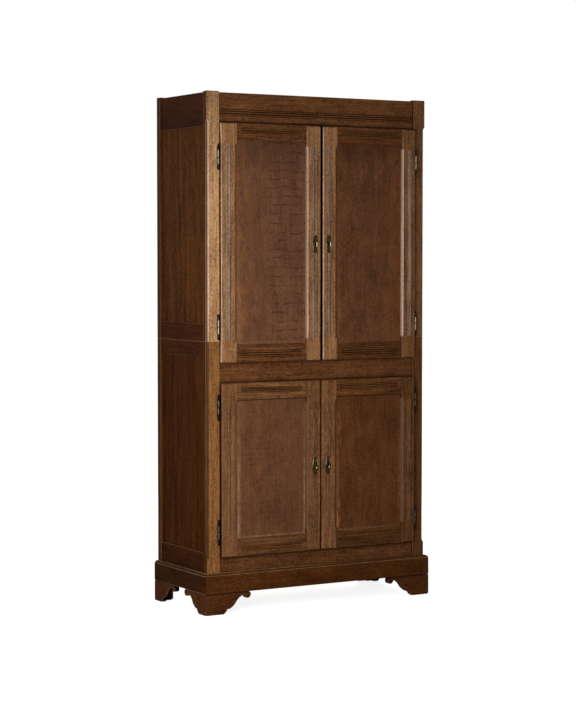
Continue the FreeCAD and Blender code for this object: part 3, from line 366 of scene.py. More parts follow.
def finished(piece, node, materials):
    """Give a copy its materials and smooth curves, and let it stand for its CAD node."""
    for material in materials:
        piece.data.materials.append(material)
    for face in piece.data.polygons:
        face.use_smooth = True
    piece.data.set_sharp_from_angle(angle=SHARP_TURN)
    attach(piece, frame["nodes"][node]["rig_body"])
    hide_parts(node)


# The plinth's arrises are painted near black towards its foot, and the feet's towards their tops, beside the
# crack between them.
BASE_JOINT_DARK = "#150A05"
base_along = {"X": oak("base_oak_X", "X", "#683C19", "#3F210D", streak=0.25, sheen=0.02),
              "Y": oak("base_oak_Y", "Y", "#522D14", "#2E1708", streak=0.25, sheen=0.01)}
base_edge = {axis: oak(f"base_edge_{axis}", axis, "#A08660", "#7C6040", sheen=0.1, valley=BASE_JOINT_DARK)
             for axis in "XY"}
foot_oak = oak("foot_oak", "X", "#6C4022", "#402210", streak=0.25, sheen=0.01)
foot_edge = oak("foot_edge", "Z", "#B0725A", "#80483A", sheen=0.1, valley=BASE_JOINT_DARK)
foot_inside = oak("foot_inside", "Z", "#1E1109", "#0E0704", sheen=0.0)


def edge_tint(piece, low, high):
    """Set "depth" by height: 0 below low millimetres and 1 above high, or the other way round."""
    depth = piece.data.attributes["depth"].data
    for vertex in piece.data.vertices:
        share = (vertex.co.z / MM - low) / (high - low)
        depth[vertex.index].value = max(0.0, min(1.0, share))


# A dark crack shows over the feet, and a wider one at the mitres of the plinth.
CRACK, MITRE_CRACK, NEAR = 1.1 * MM, 1.65 * MM, 0.4 * MM
plinth_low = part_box("plinth_front")[0]
for name, axis, dark_below in (
        ("plinth_front", "X", 110), ("plinth_sides", "Y", 70), ("plinth_back", "X", 70)):
    board = merged(name, "_oak")
    edge_tint(board, dark_below + 10, dark_below)
    for vertex in board.data.vertices:
        if vertex.co.z < plinth_low[2] + NEAR:
            vertex.co.z += CRACK
        if axis == "Y" and vertex.co.y < plinth_low[1] + NEAR:
            vertex.co.y += MITRE_CRACK
    eased(board, (1.4 if axis == "X" else 2.2) * MM, outline=True, level=True)
    finished(board, name, [base_along[axis], base_edge[axis]])

FOOT_HEIGHT, FOOT_INSIDE = 84, 2
for name in ("front_feet", "back_feet"):
    board = merged(name, "_oak")
    edge_tint(board, FOOT_HEIGHT - 14, FOOT_HEIGHT)
    for face in board.data.polygons:
        # Such a face looks towards the middle of the press, and is painted near black: painted shade.
        if any(face.normal[i] * face.center[i] < -0.3 * abs(face.center[i]) for i in (0, 1)):
            face.material_index = FOOT_INSIDE
    eased(board, 1.5 * MM, outline=True)
    finished(board, name, [foot_oak, foot_edge, foot_inside])


# ---------------------------------------------------------------- posts, rails and side panels
# Each side is a frame of posts and rails round a thin panel, and wide front rails are tenoned
# between the front posts. The front posts have stopped chamfers, rubbed by passing hands and
# painted pale near the front arris as a highlight where they look to the light.

def chamfers(piece, index, way):
    """Give the sloping front faces that look to the left (-1) or the right (1) a material.

    Their "depth" runs from 0 at the front arris to 1 at the far one."""
    shape = bmesh.new()
    shape.from_mesh(piece.data)
    depth = shape.verts.layers.float["depth"]
    for faces in solids_of(shape):
        front = corners(faces)[0][1]
        for face in faces:
            if way * face.normal.x > 0.3 and face.normal.y < -0.3 and abs(face.normal.z) < 0.6:
                face.material_index = index
                behind = [vertex.co.y - front for vertex in face.verts]
                for vertex, deep in zip(face.verts, behind):
                    vertex[depth] = deep / max(behind)
    shape.to_mesh(piece.data)
    shape.free()


def side_faces(piece, index, low, high):
    """Give the faces that look to one side, between two distances from the middle, a material."""
    for face in piece.data.polygons:
        if abs(face.normal.x) > 0.9 and low * MM < abs(face.center.x) < high * MM:
            face.material_index = index


# The left posts are painted lighter than the right ones, and the upper left one lightest: partly paler wood,
# partly painted light that falls off to the right, with a painted sheen where the lamp shines brightest. The
# upper left one is painted darker towards its top.
post_oaks = {
    ("upper", "left"): oak("post_oak", "Z", "#DAA97A", "#875B36", streak=0.4, fleck=0.45, ray=0.3,
                           ray_tone="#E2B88A",
                           dark_bands=((1850, 0), (2010, 0.2), (2085, 0.4), (WHOLE_HEIGHT, 0.5))),
    ("lower", "left"): oak("low_post_oak", "Z", "#A87341", "#684020", streak=0.4, fleck=0.35, ray=0.3,
                           ray_tone="#B08052"),
    ("upper", "right"): oak("far_post_oak", "Z", "#9A6A44", "#5E3C22"),
    ("lower", "right"): oak("far_low_post_oak", "Z", "#7A4E2A", "#4A2D18"),
}
post_arris = oak("post_arris_oak", "Z", "#B88A62", "#8E6442")
# The upper posts' chamfers are painted pale near the front arris and darker towards the far one: a painted
# highlight, with wear. The lower posts' are painted a plain brown.
post_wear_and_highlight = {
    "upper": oak("post_bare_oak", "Z", "#E2C4AC", "#A98566", ray=0.1, rough=0.35, sheen=0.3,
                 valley="#5A3820", fade=(0.25, 0.6)),
    "lower": oak("low_post_bare_oak", "Z", "#7E5030", "#4E2E18", valley="#462812"),
}
# A near black wood for the faces in the gaps beside the hinges and between the leaves, and under the door
# rails: painted shade.
joint_grime = oak("joint_grime", "Z", "#080402", "#040201", fleck=0.2, sheen=0.0)
side_post = oak("side_post_oak", "Z", "#62391F", "#3A1E0E", streak=0.3, sheen=0.02)
POST_CHAMFER, POST_JOINT, POST_SIDE = 2, 3, 4
HINGE_SIDES, OUTER_SIDES = (460, 470), (520, 525)
for floor in ("lower", "upper"):
    for side in ("left", "right"):
        node = f"{floor}_front_post_{side}"
        board = merged(node, "_oak")
        # Chamfers that look to the left, towards the light, take the paler wood: a painted highlight, with
        # wear.
        chamfers(board, POST_CHAMFER, -1)
        # The posts' faces beside the hinges are painted near black: painted shade.
        side_faces(board, POST_JOINT, *HINGE_SIDES)
        side_faces(board, POST_SIDE, *OUTER_SIDES)
        eased(board, 0.8 * MM)
        finished(board, node, [
            post_oaks[floor, side], post_arris, post_wear_and_highlight[floor], joint_grime, side_post])

side_panel = {
    floor: oak(name, "Z", light, dark, streak=0.46, fleck=0.25, sheen=0.01, ring=24)
    for floor, name, light, dark in (
        ("lower", "low_side_panel_oak", "#5C3115", "#301506"),
        ("upper", "side_panel_oak", "#73451F", "#331808"))
}
side_rail = oak("side_rail_oak", "Y", "#5A2F16", "#301608", streak=0.3, ray=0.3, ray_tone="#6A3E22",
                sheen=0.01,
                dark_bands=((160, 0.22), (240, 0.22), (270, 0), (1880, 0), (1950, 0.5), (WHOLE_HEIGHT, 0.5)))
side_edge = oak("side_edge_oak", "Z", "#80603C", "#6E5030", rough=0.4, sheen=0.1)
for floor in ("lower", "upper"):
    for name, slot, finish in (
            ("back_posts", "frame_oak", side_post), ("side_rails", "frame_oak", side_rail),
            ("side_panels", "panel_oak", side_panel[floor])):
        board = merged(f"{floor}_{name}", "_oak")
        eased(board, (2.0 if name == "back_posts" else 1.2) * MM)
        finished(board, f"{floor}_{name}", [finish, side_edge])

# The rails are painted dark in thin bands along the ends of the leaves that shut against them:
# painted shadow under and over the leaves, with dirt.
RAIL_LIGHT, RAIL_DARK, RAIL_RUBBED = "#7E502D", "#482814", "#8A6242"
(low_foot, low_head), (high_foot, high_head) = (
    [round(corner[2] / MM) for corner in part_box(f"{floor}_left_door_stiles")]
    for floor in ("lower", "upper"))
rail_oak = oak("rail_oak", "X", RAIL_LIGHT, RAIL_DARK, streak=0.3, fleck=0.35, ray=0.3, dark_bands=(
    (low_foot - 12, 0), (low_foot - 4, 0.8), (low_foot + 1, 0.8), (low_foot + 3, 0),
    (low_head - 3, 0), (low_head, 0.8), (low_head + 4, 0.8), (low_head + 10, 0),
    (high_foot - 10, 0), (high_foot - 4, 0.85), (high_foot + 1, 0.85), (high_foot + 3, 0)))
rail_rubbed = oak("rail_oak_rubbed", "X", RAIL_RUBBED, RAIL_LIGHT)
# The frieze is painted dark in a band over the tops of the upper leaves: painted shade.
frieze_oak = oak("frieze_oak", "X", "#8A5833", "#50301B", streak=0.3, fleck=0.3, ray=0.3, dark_bands=(
    (high_head - 2, 0), (high_head, 0.85), (high_head + 5, 0.85), (high_head + 11, 0)))
# The reeds are painted dark towards their valleys: painted shade, with dust.
rail_reeds = oak("rail_reeds_oak", "X", "#80522C", "#4E2E16", streak=0.5, fleck=0.3, valley="#241208",
                 fade=(0.05, 0.8))


def reed_bands(piece, index, wall):
    """Mark the sunk reeded bands of boards with a material and a "depth" from crown to valley.

    Their upright side walls take the wall material."""
    sunk, least = 2.1 * MM, 0.05 * MM
    shape = bmesh.new()
    shape.from_mesh(piece.data)
    depth = shape.verts.layers.float["depth"]
    for faces in solids_of(shape):
        front = corners(faces)[0][1]
        for face in faces:
            behind = [vertex.co.y - front for vertex in face.verts]
            if least < max(behind) < sunk + 2 * least and face.normal.z > -0.99:
                face.material_index = index
                if abs(face.normal.x) > 0.9:
                    face.material_index = wall
                for vertex, deep in zip(face.verts, behind):
                    vertex[depth] = min(1.0, deep / sunk)
    shape.to_mesh(piece.data)
    shape.free()


RAIL_REEDS = 2
for name in ("bottom_rail", "middle_rail", "frieze_rail"):
    board = merged(name, "_oak")
    if name == "frieze_rail":
        reed_bands(board, RAIL_REEDS, RAIL_REEDS)
    eased(board, 0.8 * MM)
    face_oak = frieze_oak if name == "frieze_rail" else rail_oak
    finished(board, name, [face_oak, rail_rubbed, rail_reeds])


# ---------------------------------------------------------------- inside: floors, shelves and backs
# Plain oak boards left unstained inside, resting on battens, and tongued and grooved boards
# nailed up the back with wrought nails. They are dry and dusty, with no wax.

inside_wide, inside_deep = (
    oak(f"inside_oak_{axis}", axis, "#8C6B48", "#6A4C30", rough=0.66) for axis in "XY")
inside_tall = oak("inside_oak_Z", "Z", "#7A5B3C", "#573C25", rough=0.7)
back_joint = oak("back_joint_oak", "Z", "#3C2919", "#22150B", rough=0.7, sheen=0.0)

for floor, boards in (("lower", ("lower_floor", "lower_roof", "lower_shelves")),
                      ("upper", ("upper_floor", "top_board", "upper_shelves"))):
    for name, finish in (*((board, inside_wide) for board in boards),
                         (f"{floor}_cleats", inside_deep), (f"{floor}_back_boards", inside_tall)):
        board = merged(name, "_oak")
        jointed = finish == inside_tall
        eased(board, (2.0 if jointed else 0.6) * MM)
        finished(board, name, [finish, back_joint if jointed else finish])


# ---------------------------------------------------------------- doors
# Four framed and panelled leaves. The stiles carry a sunk band of three reeds and a stopped
# chamfer round a plain panel; the rails lie a little back and carry a shorter reeded band.

stile_oak = {
    "upper": oak("stile_oak", "Z", "#BC885C", "#70472A", fleck=0.4, ray=0.25, ray_tone="#C09466", blot=0.6),
    "lower": oak("low_stile_oak", "Z", "#966744", "#5A381C", fleck=0.45, ray=0.25, ray_tone="#A87A4E",
                 blot=0.5),
}
# The upper leaves' sides, arrises and chamfers are painted pale pink towards the front: painted highlights
# where the light falls brightest, with wear. The lower leaves' are browner. Behind, the hinge sides are
# painted dark as shadow, and the meeting edges near black as shade in the gap between the leaves.
stile_side = {
    "upper": oak("stile_side_oak", "Z", "#E6C2A6", "#B4907A", rough=0.36, sheen=0.1, valley="#2A170C",
                 fade=(0.72, 0.84)),
    "lower": oak("low_stile_side_oak", "Z", "#7C583E", "#583A26", valley="#26150B", fade=(0.5, 0.66)),
}
joint_shadow = oak("joint_shadow", "Z", "#54361F", "#38220F", sheen=0.0)
stile_arris = {
    "upper": oak("stile_arris_oak", "Z", "#E2BEA4", "#A98266", rough=0.34, sheen=0.3, valley="#7A5030"),
    "lower": oak("low_stile_arris_oak", "Z", "#8C6446", "#64422A", sheen=0.1, valley="#6C462A"),
}
stile_wear_and_highlight = {
    "upper": oak("stile_bare_oak", "Z", "#ECC4A4", "#B58C6C", rough=0.32, sheen=0.3, valley="#805C42",
                 fade=(0.05, 0.6)),
    "lower": oak("low_stile_bare_oak", "Z", "#9A6E4E", "#6A442A", sheen=0.1, valley="#5E3E28",
                 fade=(0.0, 0.4)),
}
stile_shade = oak("stile_shade_oak", "Z", "#C48A50", "#8A5C38")
# The reeds are greyed by dust on their crowns and painted dark towards their valleys: painted shade, with
# dust.
stile_reeds = {
    "upper": oak("dusty_reeds_oak", "Z", "#CCB4A0", "#8A6E5A", streak=0.4, valley="#2E1A0E",
                 fade=(0.25, 0.95)),
    "lower": oak("low_reeds_oak", "Z", "#9A7452", "#604028", streak=0.4, valley="#24120A",
                 fade=(0.25, 0.95)),
}
handled_reeds = {
    "upper": oak("handled_reeds_oak", "Z", "#B09A88", "#705646", streak=0.4, blot=0.7, valley=SHADE_BROWN,
                 fade=(0.25, 0.95)),
    "lower": stile_reeds["lower"],
}
edge_highlight_and_shade = {
    "upper": oak("edge_bare_oak", "Z", "#DEB898", "#A88062", sheen=0.0, valley="#050201", fade=(0.3, 0.5)),
    "lower": oak("low_edge_oak", "Z", "#754A2D", "#52311C", sheen=0.0, valley="#0C0603", fade=(0.3, 0.6)),
}
# The right leaves' hinge stiles are painted darker: painted shade where the light falls off to the right.
far_stile_oak = {
    "upper": oak("far_stile_oak", "Z", "#A4744A", "#5E3A20", fleck=0.4, ray=0.25, blot=0.6),
    "lower": oak("far_low_stile_oak", "Z", "#855836", "#4C2D13", fleck=0.45, ray=0.25, blot=0.5),
}
door_rail_oaks = {
    (floor, side): oak(name, "X", light, dark, streak=0.5, ray=0.25,
                       dark_bands=((240, foot), (300, foot), (420, 0)) if foot else ())
    for floor, side, name, light, dark, foot in (
        ("upper", "left", "door_rail_oak", "#7A4E2C", "#3E2310", 0),
        ("lower", "left", "low_door_rail_oak", "#98663E", "#52321D", 0.34),
        ("upper", "right", "far_door_rail_oak", "#7A4B28", "#3F220E", 0),
        ("lower", "right", "far_low_door_rail_oak", "#82522C", "#442610", 0.28))
}
door_rail_rubbed = oak("door_rail_oak_rubbed", "X", "#A67C5A", "#76502E")
# The panels' tops are painted darker, as shade under the rails: broadly on the upper leaves and in a thin
# line on the lower ones.
panel_top_shade = {"upper": (0.3, 0.86, 0.97), "lower": (0.8, 0.988, 0.996)}
panel_oaks = {
    (floor, side): oak(name, "Z", light, dark, streak=0.24, fleck=0.3, ray=0.3, waves=waves, worn=worn,
                       stain=stain, dirt=panel_top_shade[floor])
    for floor, side, name, light, dark, worn, waves, stain in (
        ("upper", "left", "panel_oak", "#80563D", "#5C3B29", "#8E6850", (36, 0, 0.4, 0.55, 0.6),
         ("#A06A38", 0.1)),
        ("lower", "left", "low_panel_oak", "#805438", "#5C3A26", "#A8846A", (22, 3, 0.9, 0.3, 0.3), None),
        ("upper", "right", "far_panel_oak", "#7E5033", "#4E301E", "#7E5434", (19, -40, 0.6, 0.2, 0.45),
         ("#8E5026", 0.9)),
        ("lower", "right", "far_low_panel_oak", "#724526", "#482913", "#8A6446", (20, -30, 0.9, 0.3, 0.3),
         None))
}


def laid_out(panel):
    """A UV map over the part of a panel that shows between the stiles and rails."""
    tongue = 8 * MM
    points = [vertex.co for vertex in panel.data.vertices]
    low, high = [[pick(point[i] for point in points) + turn * tongue for i in range(3)]
                 for pick, turn in ((min, 1), (max, -1))]
    uv = panel.data.uv_layers.new(name="panel")
    for loop in panel.data.loops:
        point = points[loop.vertex_index]
        uv.data[loop.index].uv = [(point[i] - low[i]) / (high[i] - low[i]) for i in (0, 2)]


# The woods of the stiles, in the order of their materials after the face and its arris.
(LEFT_CHAMFER, RIGHT_CHAMFER, REEDS, MEETING_SIDE, MEETING_CHAMFER, HINGE_SIDE, PANEL_SIDE,
 HANDLED_REEDS, FAR_FACE) = range(2, 11)
UNDERSIDE = 3
MEETING_SIDES, PANEL_SIDES = (0, 7), ((60, 85), (390, 405))
MEETING, HANDLED, FAR = 16 * MM, 80 * MM, 380 * MM

for floor in ("lower", "upper"):
    for side in ("left", "right"):
        leaf = f"{floor}_{side}_door"
        stiles = merged(f"{leaf}_stiles", "_oak")
        # Chamfers that look to the left, towards the light, take a paler wood than those that look to the
        # right: a painted highlight, with wear.
        chamfers(stiles, LEFT_CHAMFER, -1)
        chamfers(stiles, RIGHT_CHAMFER, 1)
        # The hinge sides are painted pale at the front and dark behind: a painted highlight and painted
        # shadow. The faces in the gap between the leaves, the reed bands' side walls and the faces beside
        # the panels are painted near black or dark: painted shade.
        side_faces(stiles, HINGE_SIDE, *HINGE_SIDES)
        reed_bands(stiles, REEDS, MEETING_SIDE)
        side_faces(stiles, MEETING_SIDE, *MEETING_SIDES)
        for reach in PANEL_SIDES:
            side_faces(stiles, PANEL_SIDE, *reach)
        for face in stiles.data.polygons:
            if face.material_index == LEFT_CHAMFER and abs(face.center.x) < MEETING:
                face.material_index = MEETING_CHAMFER
            if face.material_index == REEDS and abs(face.center.x) < HANDLED:
                face.material_index = HANDLED_REEDS
            if face.material_index == 0 and face.center.x > FAR:
                face.material_index = FAR_FACE
        eased(stiles, 0.7 * MM, bold=2.2 * MM, sharp=MEETING_SIDE)
        finished(stiles, f"{leaf}_stiles", [
            stile_oak[floor], stile_arris[floor], stile_wear_and_highlight[floor], stile_shade, stile_reeds[floor],
            joint_grime, edge_highlight_and_shade[floor], stile_side[floor], joint_shadow, handled_reeds[floor],
            far_stile_oak[floor]])
        rails = merged(f"{leaf}_rails", "_oak")
        reed_bands(rails, RAIL_REEDS, RAIL_REEDS)
        # The door rails' undersides are painted near black: painted shade.
        for face in rails.data.polygons:
            if face.normal.z < -0.9:
                face.material_index = UNDERSIDE
        eased(rails, 0.9 * MM, sharp=UNDERSIDE)
        finished(rails, f"{leaf}_rails", [
            door_rail_oaks[floor, side], door_rail_rubbed, rail_reeds, joint_grime])
        panel = merged(f"{leaf}_panel", "_oak")
        laid_out(panel)
        finished(panel, f"{leaf}_panel", [panel_oaks[floor, side]])


# ---------------------------------------------------------------- hinges
# Cast iron barrel hinges with a turned acorn finial at each end, let into the post and the
# door's edge. They are blacked, and the barrels are painted bright on the side that looks to the
# front and a little to the left: a painted highlight, with wear where hands and cloths pass.

def metal(name, light, dark, bare, rough, grit, relief):
    """A cast or wrought metal with a mottled patina, bright where the attribute "rub" is high.

    bare is how much of it is free of patina all over, grit the size of its pits in millimetres
    and relief their depth."""
    material, tree = new_material(name)
    place = add(tree, "ShaderNodeTexCoord").outputs["Object"]
    pits = add(tree, "ShaderNodeTexNoise", None, {
        "Vector": place, "Scale": 1 / (grit * MM), "Detail": 4.0})
    patches = add(tree, "ShaderNodeTexNoise", None, {
        "Vector": place, "Scale": 1 / (5 * grit * MM), "Detail": 3.0})
    # The metal is painted bright where this attribute is high: a painted highlight, with wear.
    rub = add(tree, "ShaderNodeAttribute", {"attribute_name": "rub"}).outputs["Fac"]
    share = add(tree, "ShaderNodeMath", {"operation": "MULTIPLY_ADD"}, {
        0: patches.outputs[0], 1: 0.5, 2: rub})
    shown = between(tree, share.outputs[0], 0.3 - bare, 1.1 - bare)
    gloss = add(tree, "ShaderNodeMapRange", None, {
        "Value": pits.outputs[0], "To Min": rough - 0.12, "To Max": rough + 0.15})
    bump = add(tree, "ShaderNodeBump", None, {
        "Height": pits.outputs[0], "Strength": 0.5, "Distance": relief * MM})
    surface = add(tree, "ShaderNodeBsdfPrincipled", None, {
        "Base Color": mixed(tree, shown, linear(dark), linear(light)), "Metallic": 0.95,
        "Roughness": gloss.outputs[0], "Normal": bump.outputs[0]})
    add(tree, "ShaderNodeOutputMaterial", None, {"Surface": surface.outputs[0]})
    return material


hinge_iron = metal("black_iron", "#A8A090", "#15110D", bare=0.0, rough=0.5, grit=1.2, relief=0.08)
BARREL = (
    # radius and height from the meeting of the knuckles, and how bright it is painted: a painted highlight,
    # with wear
    (0.0, 0.2, 0), (5.3, 0.2, 0), (5.5, 0.6, 0.6), (5.5, 8, 1), (5.5, 22, 1), (5.5, 29.2, 0.5), (5.1, 30, 0),
    (4.1, 30.5, 0), (3.9, 32.4, 0), (4.8, 34.6, 0), (5.1, 37.6, 0.2), (4.8, 41, 0.2), (3.9, 44.4, 0),
    (3.3, 46, 0), (3.6, 47.4, 0), (3.5, 49.6, 0), (2.5, 51.6, 0), (1.1, 52.4, 0), (0.0, 52.5, 0),
)
ROUND = 32
HALF_BARREL = BARREL[-1][1] * MM
LIT = Vector((-0.38, -0.92, 0))


def turned(shape, rub, x, y, middle, way, worn):
    """Half of a hinge barrel turned about an upright axis, up (1) or down (-1) from middle.

    It is painted bright towards the front, a little to the left, where it looks to the light: a
    painted highlight, with wear."""
    rings = []
    for radius, height, bright in BARREL:
        spots = range(ROUND) if radius else (0,)
        ring = []
        for i in spots:
            turn = math.tau * i / ROUND
            out = Vector((math.cos(turn), math.sin(turn), 0))
            vertex = shape.verts.new(Vector((x, y, middle + way * height * MM)) + out * radius * MM)
            vertex[rub] = bright * worn * max(0.0, min(1.0, 5 * (out.dot(LIT) - 0.84)))
            ring.append(vertex)
        rings.append(ring)
    for a, b in zip(rings, rings[1:]):
        for i in range(ROUND):
            near, far = a[i % len(a)], a[(i + 1) % ROUND % len(a)]
            quad = [near, far, b[(i + 1) % ROUND % len(b)], b[i % len(b)]]
            shape.faces.new(list(dict.fromkeys(quad)))


pivot = frame["record"]["behaviour"]["joints"][0]["pos_m"]
BARREL_REACH = 8 * MM
for node in [name for name in frame["nodes"] if "hinge" in name]:
    plates = merged(node, "_iron")
    shape = bmesh.new()
    shape.from_mesh(plates.data)
    rub = shape.verts.layers.float.new("rub")
    halves = [(faces, corners(faces)) for faces in solids_of(shape)]
    for faces, (low, high) in halves:
        # A half's barrel is turned anew about the hinge's axis, and its leaf is kept from the copy.
        side = 1 if low[0] + high[0] > 0 else -1
        axis = Vector((side * abs(pivot[0]), pivot[1], 0))
        leaf = {face for face in faces
                if max((vertex.co.xy - axis.xy).length for vertex in face.verts) > BARREL_REACH}
        door_half = "leaves" in node
        middle = high[2] - HALF_BARREL if door_half else low[2] + HALF_BARREL
        bmesh.ops.delete(shape, geom=[face for face in faces if face not in leaf], context="FACES")
        # The lower hinges' barrels are painted a third as bright: a weaker painted highlight, where less
        # light falls.
        turned(shape, rub, axis.x, axis.y, middle, 1 if door_half else -1, 1 if "upper" in node else 0.3)
    loose = [vertex for vertex in shape.verts if not vertex.link_faces]
    bmesh.ops.delete(shape, geom=loose, context="VERTS")
    open_edges = [edge for edge in shape.edges if edge.is_boundary]
    bmesh.ops.holes_fill(shape, edges=open_edges, sides=0)
    bmesh.ops.recalc_face_normals(shape, faces=shape.faces)
    shape.to_mesh(plates.data)
    shape.free()
    finished(plates, node, [hinge_iron])


# ---------------------------------------------------------------- keyhole plates
# Cast brass cartouches with a raised oval round the keyhole, fixed by a pin in each end. They
# have gone brown and green, and the beads are painted bright on their flanks that look to the
# left: a painted highlight, with wear from the key and the hand.

aged_brass = metal("aged_brass", "#E0D2AE", "#3C3018", bare=0.0, rough=0.42, grit=1.5, relief=0.08)
# The right leaves' keyholes are a flat face painted near black and mottled: painted shade in the hole.
keyhole_dark, tree = new_material("keyhole_dark")
place = add(tree, "ShaderNodeTexCoord").outputs["Object"]
dust = add(tree, "ShaderNodeTexNoise", None, {"Vector": place, "Scale": 0.9 / MM, "Detail": 2.0})
hole_shade = mixed(tree, dust.outputs[0], linear("#050302"), linear("#120C07"))
pit = add(tree, "ShaderNodeBsdfPrincipled", None, {
    "Base Color": hole_shade, "Roughness": 0.9, "Specular IOR Level": 0.0})
add(tree, "ShaderNodeOutputMaterial", None, {"Surface": pit.outputs[0]})

ROUND_BEAD, ROUND_PIN = 7, 12
PLATE = (
    # height from the middle and half width of the plate, in millimetres
    (0, 12.8), (8, 12.6), (14, 11.6), (19, 10.2), (24, 9.0), (27, 8.4), (30, 8.1), (33, 7.0),
    (35, 4.6), (35.5, 1.4),
)


def brass_bead(shape, rub, path, centre, thick, bright):
    """A half round moulding along a closed upright path, with its crown towards the front.

    bright is how much the metal is painted bright at each point of the path, where it looks to the left: a
    painted highlight, with wear."""
    rows = []
    for i, spot in enumerate(path):
        along = path[(i + 1) % len(path)] - path[i - 1]
        out = Vector((-along.z, 0, along.x)).normalized()
        if out.dot(spot) < 0:
            out = -out
        row = []
        for j in range(ROUND_BEAD):
            bend = math.pi * j / (ROUND_BEAD - 1)
            lean = out * math.cos(bend) + Vector((0, -math.sin(bend), 0))
            vertex = shape.verts.new(centre + spot + lean * thick)
            vertex[rub] = bright[i] * max(0.0, min(1.0, -1.8 * lean.x))
            row.append(vertex)
        rows.append(row)
    for a, b in zip(rows, rows[1:] + rows[:1]):
        for j in range(ROUND_BEAD - 1):
            shape.faces.new((a[j], b[j], b[j + 1], a[j + 1]))
        shape.faces.new((a[-1], b[-1], b[0], a[0]))


def brass_plate(shape, outline, middle, front, back):
    """A flat plate with an upright outline of points about middle, between two depths."""
    rings = [[shape.verts.new(Vector((middle.x, depth, middle.z)) + spot) for spot in outline]
             for depth in (front, back)]
    faces = [shape.faces.new(rings[0]), shape.faces.new(rings[1][::-1])]
    for i in range(len(outline)):
        faces.append(shape.faces.new((rings[0][i], rings[0][i - 1], rings[1][i - 1], rings[1][i])))
    return faces


def brass_pin(shape, rub, centre, radius, height):
    """A round pin head, domed towards the front."""
    spots = [Vector((math.cos(turn), 0, math.sin(turn))) * radius
             for turn in (math.tau * i / ROUND_PIN for i in range(ROUND_PIN))]
    rings = [[shape.verts.new(centre + spot * reach - Vector((0, rise * height, 0))) for spot in spots]
             for reach, rise in ((1.0, 0.0), (0.9, 0.5), (0.55, 0.88))]
    crown = shape.verts.new(centre - Vector((0, height, 0)))
    # The crown is painted half bright: a painted highlight, with wear.
    crown[rub] = 0.5
    for i in range(ROUND_PIN):
        for a, b in zip(rings, rings[1:]):
            shape.faces.new((a[i - 1], a[i], b[i], b[i - 1]))
        shape.faces.new((rings[-1][i - 1], rings[-1][i], crown))
    shape.faces.new(rings[0][::-1])


def all_round(half):
    """A closed outline from its right half, given as points across and up in millimetres."""
    return [Vector((x, 0, z)) * MM for x, z in (*half, *((-x, z) for x, z in half[::-1] if x))]


KEYHOLE = (
    # across and up from the middle of the plate, in millimetres, for the right half of the hole
    (0, -9.4), (3.8, -9.0), (3.6, -2.0), (4.6, 0.2), (5.3, 3.0), (4.6, 6.0), (2.8, 8.2), (0, 9.0),
)
PLATE_THICK, EDGE_BEAD, OVAL_BEAD, OVAL_WIDE, OVAL_TALL = 1.4, 0.9, 1.9, 7.6, 12
PIN_RISE, PIN_RADIUS, PIN_HEIGHT, BEAD_END = 24.5, 1.8, 1.1, 34
TURNS = [math.tau * i / ROUND for i in range(ROUND)]

for node in [name for name in frame["nodes"] if "escutcheon" in name]:
    # The key and the hand rub the upper plates along the middle, and the lower ones near the top.
    # Highlights are painted along the middle of the upper plates and near the top of the lower ones, with
    # wear from the key and the hand.
    upper = "upper" in node
    highlight_low, highlight_high, oval_top = (-20, 4, 10.5) if upper else (6, 31, -3)
    low, high = (Vector(corner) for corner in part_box(node))
    middle = (low + high) / 2
    front = high.y - PLATE_THICK * MM
    shape = bmesh.new()
    rub = shape.verts.layers.float.new("rub")
    right_half = [(wide, height) for height, wide in PLATE]
    outline = all_round([(wide, -height) for wide, height in right_half[:0:-1]] + right_half)
    brass_plate(shape, outline, middle, front, high.y)
    edge = [spot - Vector((math.copysign(EDGE_BEAD * MM, spot.x), 0, 0)) for spot in outline
            if abs(spot.z) < BEAD_END * MM]
    edge_bright = [0.6 if highlight_low < spot.z / MM < highlight_high else 0.0 for spot in edge]
    brass_bead(shape, rub, edge, Vector((middle.x, front, middle.z)), EDGE_BEAD * MM, edge_bright)
    oval = [Vector((OVAL_WIDE * math.cos(turn), 0, OVAL_TALL * math.sin(turn))) * MM for turn in TURNS]
    oval_bright = [1.1 if spot.x > 2 * MM and spot.z < oval_top * MM else 0.0 for spot in oval]
    seat = Vector((middle.x, front - 0.2 * MM, middle.z))
    brass_bead(shape, rub, oval, seat, OVAL_BEAD * MM, oval_bright)
    for rise in (-PIN_RISE, PIN_RISE):
        foot = Vector((middle.x, front, middle.z + rise * MM))
        brass_pin(shape, rub, foot, PIN_RADIUS * MM, PIN_HEIGHT * MM)
    for face in brass_plate(shape, all_round(KEYHOLE), middle, front - 0.1 * MM, front + 0.3 * MM):
        face.material_index = 1
    bmesh.ops.recalc_face_normals(shape, faces=shape.faces)
    mesh = bpy.data.meshes.new(node + "_brass")
    shape.to_mesh(mesh)
    shape.free()
    # The left leaves have no lock, so that wood shows through their keyholes, painted in shade.
    behind = joint_shadow if "left" in node else keyhole_dark
    finished(new_object(node + "_brass", mesh), node, [aged_brass, behind])


# ---------------------------------------------------------------- locks and bolts
# Steel rim locks on the right leaves and sliding bolts on the left leaves, screwed to their
# backs. The screws are slotted, and the back boards are nailed to the shelves.

lock_steel = metal("lock_steel", "#7E7A72", "#3C3833", bare=0.3, rough=0.42, grit=1.0, relief=0.03)
for node in [name for name in frame["nodes"] if "lock" in name or "bolt" in name]:
    part = merged(node, "_steel")
    edges = part.modifiers.new("filed edges", "BEVEL")
    edges.width = 0.4 * MM
    edges.segments = 2
    edges.limit_method = "ANGLE"
    edges.angle_limit = math.radians(50)
    finished(part, node, [lock_steel])

